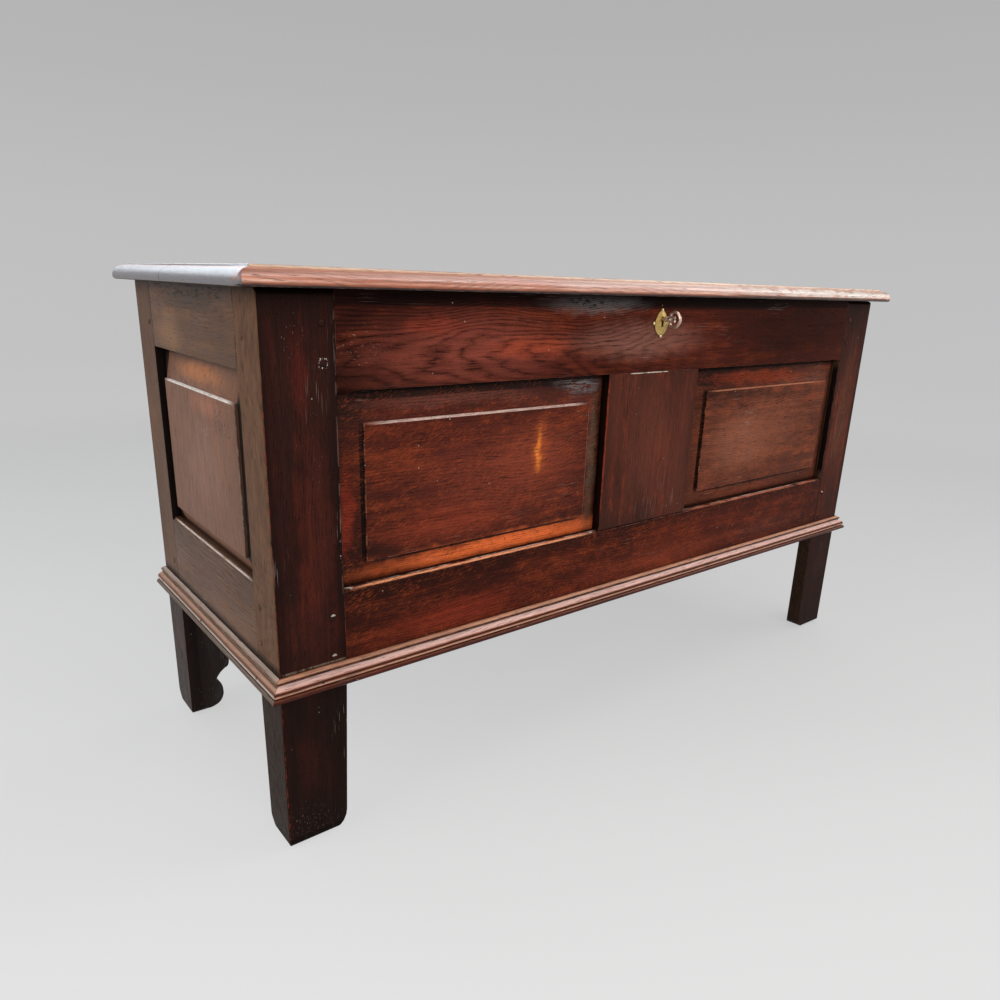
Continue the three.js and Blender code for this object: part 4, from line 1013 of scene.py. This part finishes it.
            strip((-0.45, -0.236, 0.683), (0.25, 0.02, 0.009), (168, 88, 56), 0.5, (7, 260, 0.46, 0.58)),
            # painted shadow along the lid's lower edge
            strip((0, -0.234, 0.6736), (0, 0.012, 0.0016), (26, 12, 9), 0.95, (26, 200, 0.3, 0.42)),
            strip((-0.626, 0.0235, 0.684), (0.012, 0.0016, 0.014), (58, 54, 57), 0.9),
        ],
    },
    "lid_rear_board": {
        "axes": "xyz",
        "heart": (0.05, -0.1),
        "look": lidOak,
        "marks": [
            strip((-0.626, 0.0235, 0.684), (0.012, 0.0014, 0.014), (58, 54, 57), 0.9),
            strip((-0.626, 0.036, 0.688), (0.012, 0.0012, 0.006), (70, 66, 70), 0.8),
        ],
    },
    "front_base_moulding": {
        "axes": "xzy",
        "heart": (0.04, 0.02),
        "look": {
            "bands": mouldingHighlightAndShadeBands, "edgeAmount": 0.0, "sheen": 0.1, "roughness": 0.28,
            "coat": 0.05, "fibreDepth": 0.4, "dirt": 0.25, "ringDepth": 0.12, "gritDepth": 0.5,
        },
        "marks": [
            strip((0, -0.2145, 0.2413), (0.64, 0.006, 0.001), (190, 172, 154), 0.75, (30, 90, 0.35, 0.5)),
        ],
    },
    "left_base_moulding": {"axes": "yzx", "heart": (0.04, 0.02), "look": oliveMoulding},
    "right_base_moulding": {"axes": "yzx", "heart": (0.04, 0.02), "look": oliveMoulding},
}

# Which side of a piece faces into the chest, or under the lid, and was never polished: the
# axis, the side, its place, and for the lid the place on Y that it lies behind.
insideOf = {
    "front": ("Y", 1, -0.186),
    "left": ("X", 1, -0.592),
    "right": ("X", -1, 0.592),
    "lid": ("Z", -1, 0.674, -0.2115),
}

# The soles are worn round: axis, side, the side's place and the radius.
frontSole = [(1, 1, -0.1485, 0.038), (1, -1, -0.2115, 0.007)]
rearSole = [(1, 1, 0.2365, 0.038), (1, -1, 0.1665, 0.016)]
feet = {
    "front_left_stile": [*frontSole, (0, -1, -0.610, 0.008)],
    "front_right_stile": [*frontSole, (0, 1, 0.610, 0.008)],
    "rear_left_stile": [*rearSole, (0, -1, -0.610, 0.010)],
    "rear_right_stile": [*rearSole, (0, 1, 0.610, 0.010)],
}

# How far the edges are worn round, in how many steps, and the shortest edge that is, in metres.
# Pins and the key are round already.
wearOf = {
    "polished": {"width": 0.0009},
    "dry": {"width": 0.0008, "segments": 1},
    "metal": {"width": 0.0004, "least": 0.004},
    "round": {"width": 0},
    "peg": {"width": 0.0012, "segments": 3, "least": 0.0005},
}

# The first piece's seed in each list, and the pegs' own
seeds = {"polished": 100, "dry": 300, "pegs": 77, "endPegs": 78}

for index, (nodeName, plan) in enumerate(oakPieces.items()):
    low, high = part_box(nodeName)
    order = ["xyz".index(axis) for axis in plan["axes"]]
    half = [(high[axis] - low[axis]) / 2 for axis in order]
    material = oak(
        pieceName(nodeName) + "Oak",
        plan["axes"],
        (low + high) / 2,
        half,
        seeds["polished"] + index,
        plan["look"],
        plan["heart"],
        plan.get("marks", ()),
        insideOf.get(nodeName.split("_")[0]),
    )
    piece = dressed(nodeName, **wearOf["polished"], foot=feet.get(nodeName, ()))
    settle(piece, nodeName, material)
print("polished oak dressed")

dryPieces = {
    "back_top_rail": "xzy",
    "back_bottom_rail": "xzy",
    "back_muntin": "zxy",
    "back_left_panel": "xzy",
    "back_right_panel": "xzy",
    "lid_left_batten": "yxz",
    "lid_right_batten": "yxz",
    **{"floor_board_" + str(number): "yxz" for number in range(1, 6)},
}
for index, (nodeName, axes) in enumerate(dryPieces.items()):
    low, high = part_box(nodeName)
    material = dryOak(pieceName(nodeName) + "Oak", axes, (low + high) / 2, seeds["dry"] + index)
    settle(dressed(nodeName, **wearOf["dry"]), nodeName, material)
print("dry oak dressed")

# grain is how many clouds there are to the metre, soiled how much of the dark shows.
metals = {
    "wroughtIron": {
        "base": tint(58, 54, 52),
        "dark": tint(34, 28, 26),
        "bright": tint(110, 100, 92),
        "roughness": 0.55,
        "metallic": 0.85,
        "grain": 90,
        "soiled": 1.0,
        "nodes": [
            "left_hinge_lid_leaf",
            "right_hinge_lid_leaf",
            "left_hinge_back_leaf",
            "right_hinge_back_leaf",
            "left_hinge_pin",
            "right_hinge_pin",
            "lock_staple",
            "lock_plate",
            "lock_case",
            "drill_pin",
        ],
    },
    "rubbedSteel": {
        "base": tint(212, 186, 170),
        "dark": tint(150, 124, 116),
        "bright": tint(246, 234, 228),
        "roughness": 0.34,
        "metallic": 0.8,
        "grain": 90,
        "soiled": 0.5,
        "nodes": ["lock_bolt", "key"],
    },
    "agedBrass": {
        "base": tint(198, 168, 100),
        "dark": tint(136, 108, 58),
        "bright": tint(250, 236, 184),
        "roughness": 0.38,
        "metallic": 0.85,
        "grain": 120,
        "soiled": 0.7,
        "nodes": ["escutcheon"],
    },
    "rubbedBrass": {
        "base": tint(250, 236, 186),
        "dark": tint(206, 184, 124),
        "bright": tint(255, 250, 222),
        "roughness": 0.35,
        "metallic": 0.6,
        "grain": 300,
        "soiled": 0.4,
        "nodes": ["escutcheon_pin_" + str(number) for number in range(1, 5)],
    },
}
# The bow's rod is a little thicker than in the frame, with the lowest corner kept.
bowSwell = {"by": 0.0006, "before": -0.223, "limit": -0.2485}


def metal(name, plan):
    finish = Finish(name)
    where = finish.place()
    cloud = finish.noise(where, detail=4.0, roughness=0.6, scale=plan["grain"])
    fine = finish.noise(where, detail=3.0, roughness=0.6, scale=plan["grain"] * 6)
    colour = finish.blend(cloud.over(0.35, 0.7) * plan["soiled"], plan["base"], plan["dark"])
    rubbed = (finish.worn() * 0.8 + fine.over(0.6, 0.75) * 0.3) * cloud.over(0.3, 0.5)
    colour = finish.blend(rubbed, colour, plan["bright"])
    colour = finish.blend(finish.openness(0.004).under(0.3, 0.8) * 0.6, colour, plan["dark"])
    rough = plan["roughness"] + (cloud - 0.5) * 0.3 + (fine - 0.5) * 0.15
    values = {"Base Color": colour, "Roughness": rough, "Metallic": plan["metallic"]}
    return finish.surface(values, finish.relief(0.25, 0.0002, cloud + fine * 0.4))


metalFinishes = {name: metal(name, plan) for name, plan in metals.items()}
iron = metalFinishes["wroughtIron"]
for name, plan in metals.items():
    for nodeName in plan["nodes"]:
        wear = wearOf["round" if "pin" in nodeName or nodeName == "key" else "metal"]
        swell = bowSwell if nodeName == "key" else None
        settle(dressed(nodeName, **wear, swell=swell), nodeName, metalFinishes[name])

pegLook = {
    "night": tint(30, 18, 15),
    "base": tint(46, 26, 21),
    "glow": tint(70, 40, 31),
    "wear": tint(64, 42, 34),
    "ringGap": 0.0018,
    "edgeAmount": 0.0,
    "sheen": 0.05,
    "scratches": 0.0,
    "wearAmount": 0.6,
}
# The pegs of the ends share their olive tone: partly faded, partly painted light.
endPegLook = {**pegLook, "base": tint(92, 72, 58), "night": tint(60, 46, 36), "glow": tint(100, 80, 64)}
# The lower pegs stand proud, with a painted highlight on their upper left.
pegHighlights = [
    strip((x - 0.0006, 0, z + 0.0030), (0.0036, 0, 0.0017), (190, 180, 168), 0.85)
    for x, z in ((-0.540, 0.300), (-0.540, 0.248), (0.540, 0.300))
]
pegOak = oak("pegOak", "yxz", (0, 0, 0), (1, 1, 1), seeds["pegs"], pegLook, marks=pegHighlights)
for number in range(1, 9):
    nodeName = "front_peg_" + str(number)
    settle(dressed(nodeName, **wearOf["peg"]), nodeName, pegOak)
print("metal and pegs dressed")


# Geometry Nodes: one low domed head on each point, turned to the point's "facing".
class Shape:
    def __init__(self, name, entries):
        self.tree = bpy.data.node_groups.new(name, "GeometryNodeTree")
        face = self.tree.interface
        face.new_socket(name="Geometry", in_out="OUTPUT", socket_type="NodeSocketGeometry")
        self.names = {}
        for label, kind in entries.items():
            socket = face.new_socket(name=label, in_out="INPUT", socket_type="NodeSocket" + kind)
            self.names[label] = socket.identifier

    def node(self, kind, settings=None, values=None, out=0):
        return addNode(self, kind, settings, values, out)

    def maths(self, operation, *parts):
        return self.node("ShaderNodeMath", {"operation": operation}, dict(enumerate(parts)))


headEntries = {
    "Geometry": "Geometry",
    "Radius": "Float",
    "Height": "Float",
    "Unevenness": "Float",
    "Seed": "Int",
    "Finish": "Material",
}


def headShape(name, sides, rings):
    shape = Shape(name, headEntries)
    given = shape.node("NodeGroupInput", out="Geometry")
    radius, uneven = given.also("Radius"), given.also("Unevenness")
    ball = shape.node("GeometryNodeMeshUVSphere", {}, {"Segments": sides, "Rings": rings, "Radius": 1.0})
    named = {"data_type": "FLOAT_VECTOR"}
    toward = shape.node("GeometryNodeInputNamedAttribute", named, {"Name": "facing"})
    tilt = shape.node("FunctionNodeAlignRotationToVector", {"axis": "Z"}, {"Vector": toward})
    limits = {2: 1 - uneven, 3: 1 + uneven, "Seed": given.also("Seed")}
    chance = shape.node("FunctionNodeRandomValue", {"data_type": "FLOAT"}, limits, out=1)
    sizes = {0: radius * chance, 1: radius, 2: given.also("Height") * chance}
    heads = {"Points": given, "Instance": ball, "Rotation": tilt}
    heads["Scale"] = shape.node("ShaderNodeCombineXYZ", {}, sizes)
    placed = shape.node("GeometryNodeInstanceOnPoints", {}, heads)
    real = shape.node("GeometryNodeRealizeInstances", {}, {0: placed})
    finished = {"Geometry": real, "Material": given.also("Finish")}
    shape.node("NodeGroupOutput", {}, {0: shape.node("GeometryNodeSetMaterial", {}, finished)})
    return shape


# Heads at every crossing of these places, all facing one way.
def grid(way, across, back, up):
    return [((x, y, z), way) for x in across for y in back for z in up]


def addHeads(name, plan):
    data = bpy.data.meshes.new(name)
    data.from_pydata([place for place, _ in plan["spots"]], [], [])
    facing = data.attributes.new("facing", "FLOAT_VECTOR", "POINT")
    facing.data.foreach_set("vector", [number for _, way in plan["spots"] for number in way])
    piece = added(name, data)
    modifier = piece.modifiers.new("heads", "NODES")
    modifier.node_group = plan["shape"].tree
    for label, value in {**plan["sizes"], "Finish": plan["finish"]}.items():
        modifier[plan["shape"].names[label]] = value
    baked(piece)
    piece.data.shade_smooth()
    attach(piece, plan["body"])


pegShape = headShape("pegHeads", 10, 6)
nailShape = headShape("nailHeads", 14, 8)
endPegOak = oak("endPegOak", "xyz", (0, 0, 0), (1, 1, 1), seeds["endPegs"], endPegLook)
pegSizes = {"Radius": 0.0042, "Height": 0.0013, "Unevenness": 0.12, "Seed": 5}
hingeNailSizes = {"Radius": 0.0036, "Height": 0.0012, "Unevenness": 0.1, "Seed": 21}
endPegPlan = {"shape": pegShape, "body": "carcass", "finish": endPegOak, "sizes": pegSizes}
nailPlan = {"shape": nailShape, "body": "carcass", "slot": "wrought_iron", "finish": iron}
endPegPlaces = ((-0.1597, 0.2651), (-0.163, 0.312), (-0.166, 0.622), (0.182, 0.266), (0.181, 0.618))

headPlans = {
    "endPegs": {
        **endPegPlan,
        "slot": "polished_oak",
        "spots": [((side * 0.610, y, z), (side, 0, 0)) for side in (-1, 1) for y, z in endPegPlaces],
    },
    "backPegs": {
        **endPegPlan,
        "slot": "dry_oak",
        "spots": grid((0, 1, 0), (-0.543, 0.543), [0.2363], (0.252, 0.292, 0.602, 0.640)),
    },
    "mouldingNails": {
        **nailPlan,
        "sizes": {"Radius": 0.0019, "Height": 0.0007, "Unevenness": 0.15, "Seed": 9},
        "spots": [  # on the swell of the moulding's profile
            *grid((0, -1, 0.25), (-0.562, -0.4493, -0.17, 0.13, 0.42, 0.585), [-0.2241], [0.2262]),
            *grid((-1, 0, 0.25), [-0.6226], (-0.17, 0.03, 0.21), [0.2262]),
            *grid((1, 0, 0.25), [0.6226], (-0.17, 0.03, 0.21), [0.2262]),
        ],
    },
    "hingeNailsBehind": {
        **nailPlan,
        "sizes": hingeNailSizes,
        "spots": grid((0, 1, 0), (-0.380, 0.380), [0.2397], (0.572, 0.603, 0.636)),
    },
    "lidNails": {  # of the hinges and of the battens
        **nailPlan,
        "body": "lid",
        "sizes": hingeNailSizes,
        "spots": [
            *grid((0, 0, -1), (-0.380, 0.380), (0.016, 0.078, 0.140), [0.6693]),
            *grid((0, 0, -1), (-0.484, 0.484), (-0.135, -0.045, 0.075, 0.165), [0.6543]),
        ],
    },
    "lockNails": {
        **nailPlan,
        "sizes": {"Radius": 0.0026, "Height": 0.0008, "Unevenness": 0.1, "Seed": 33},
        "spots": grid((0, 1, 0), (-0.0548, 0.0548), [-0.1813], (0.604, 0.652)),
    },
}
for name, plan in headPlans.items():
    addHeads(name, plan)
print("pegs and nails placed")


# Pale paper floor and round backdrop. The floor darkens along heading, over span metres from
# before the middle. Near the chest it is steady in part and shaded by it in part, and past far
# it is steady alone.
stagePlan = {
    "floorRadius": 6.0,
    "bend": 2.0,
    "wallTop": 9.0,
    "heading": (0.628, 0.778),
    "before": 1,
    "span": 8,
    "floorTint": tint(168, 168, 168),
    "steady": 0.74,
    "far": (1.6, 3.6),
    "wallFar": (1.0, 2.0),
    "blendTop": 2.6,
    "greys": [
        (0.0, 240), (0.03, 239), (0.07, 231), (0.103, 223), (0.16, 214),
        (0.2, 208), (0.265, 202), (0.366, 198), (0.55, 196), (1.0, 192),
    ],
    "wallGreys": [(0.0, 192), (0.17, 187), (0.36, 179), (0.6, 172), (1.0, 164)],
}


def revolved(name, points, parts=96):
    mesh = bmesh.new()
    rings = []
    for radius, z in points:
        turns = [2 * math.pi * step / parts for step in range(parts)]
        places = [(radius * math.cos(turn), radius * math.sin(turn), z) for turn in turns]
        rings.append([mesh.verts.new(place) for place in places])
    for inner, outer in zip(rings, rings[1:]):
        for step in range(parts):
            following = (step + 1) % parts
            mesh.faces.new((inner[step], outer[step], outer[following], inner[following]))
    if points[0][0] < 1:
        mesh.faces.new(rings[0])
    bmesh.ops.recalc_face_normals(mesh, faces=mesh.faces)
    data = bpy.data.meshes.new(name)
    mesh.to_mesh(data)
    mesh.free()
    data.shade_smooth()
    piece = added(name, data)
    return piece


def greyRamp(finish, greys, value):
    return finish.ramp(shades(*((place, grey, grey, grey) for place, grey in greys)), value)


# Paper that the camera sees as even greys, with some of the shadows that fall on it.
def paper(name, plan, greys, reading, far, below=None):
    finish = Finish(name)
    place = finish.split(finish.place())
    tone = greyRamp(finish, greys, reading(place))
    if below:
        low = greyRamp(finish, plan["greys"], below(place))
        tone = finish.blend(place.also("Z").over(0.0, plan["blendTop"]), low, tone)
    rays = finish.node("LightPath", out="Is Camera Ray")
    seen = finish.maths("MAXIMUM", rays, rays.also("Is Glossy Ray"))
    seen = finish.maths("MAXIMUM", seen, rays.also("Is Transmission Ray"))
    distance = finish.maths("SQRT", place * place + place.also("Y") * place.also("Y"))
    steady = plan["steady"] + (1 - plan["steady"]) * distance.over(*far)
    values = {"Base Color": plan["floorTint"], "Roughness": 0.9, "Specular IOR Level": 0.0}
    flat = finish.node("BsdfPrincipled", {}, values)
    even = finish.node("Emission", {}, {"Color": tone, "Strength": 1.0})
    both = finish.node("MixShader", {}, {0: seen * steady, 1: flat, 2: even})
    finish.node("OutputMaterial", {}, {"Surface": both})
    return finish.material


def addStage(plan):
    east, north = plan["heading"]

    def ahead(place):
        return (place * east + place.also("Y") * north + plan["before"]) / plan["span"]

    def upward(place):
        return place.also("Z") / plan["wallTop"]

    edge, bend = plan["floorRadius"], plan["bend"]
    floor = revolved("studioFloor", [(0.5, 0.0), (1.5, 0.0), (3.0, 0.0), (edge, 0.0)])
    floor.data.materials.append(paper("studioPaper", plan, plan["greys"], ahead, plan["far"]))
    turns = [math.radians(7.5 * step) for step in range(13)]  # a quarter turn, from floor to wall
    profile = [(edge + math.sin(turn) * bend, (1 - math.cos(turn)) * bend) for turn in turns]
    wall = revolved("studioWall", [*profile, (edge + bend, plan["wallTop"])])
    wallPaper = paper("studioWallPaper", plan, plan["wallGreys"], upward, plan["wallFar"], ahead)
    wall.data.materials.append(wallPaper)
    wall.visible_diffuse = False
    wall.visible_shadow = False


# Soft lamps: place, aim and size in metres, power in watts, and tint
lamps = {
    "leftWindow": [(-3.3, 0.3, 2.2), (-0.4, 0.0, 0.4), (2.2, 2.0), 62, (1.0, 0.98, 0.94)],
    "frontSoft": [(-0.8, -3.5, 2.5), (0, 0, 0.35), (3.2, 2.0), 86, (1.0, 0.99, 0.97)],
    "rightFill": [(3.4, -1.8, 2.2), (0.2, 0, 0.4), (2.4, 2.2), 36, (1.0, 1.0, 1.0)],
    "overhead": [(1.6, -0.1, 2.8), (0.1, -0.1, 0.6), (2.6, 2.4), 72, (1.0, 0.99, 0.97)],
    "rearSky": [(-0.8, 2.3, 1.95), (-0.6, 0.0, 0.7), (2.4, 1.3), 36, (0.84, 0.92, 1.0)],
}
airPlan = {"tint": tint(228, 230, 234), "strength": 0.4}


def addLamps(plan, air):
    for name, (place, aim, size, power, colour) in plan.items():
        data = bpy.data.lights.new(name, "AREA")
        data.shape = "RECTANGLE"
        data.size, data.size_y = size
        data.energy = power
        data.color = colour
        holder = added(name, data)
        holder.location = place
        holder.rotation_euler = (Vector(aim) - Vector(place)).to_track_quat("-Z", "Y").to_euler()
        holder.visible_camera = False
    world = bpy.data.worlds.new("studioAir")
    world.use_nodes = True
    background = world.node_tree.nodes["Background"]
    background.inputs["Color"].default_value = air["tint"]
    background.inputs["Strength"].default_value = air["strength"]
    bpy.context.scene.world = world


addStage(stagePlan)
addLamps(lamps, airPlan)
bpy.context.scene.view_settings.view_transform = "Standard"
print("stage and lamps ready")

low, high = cadBox
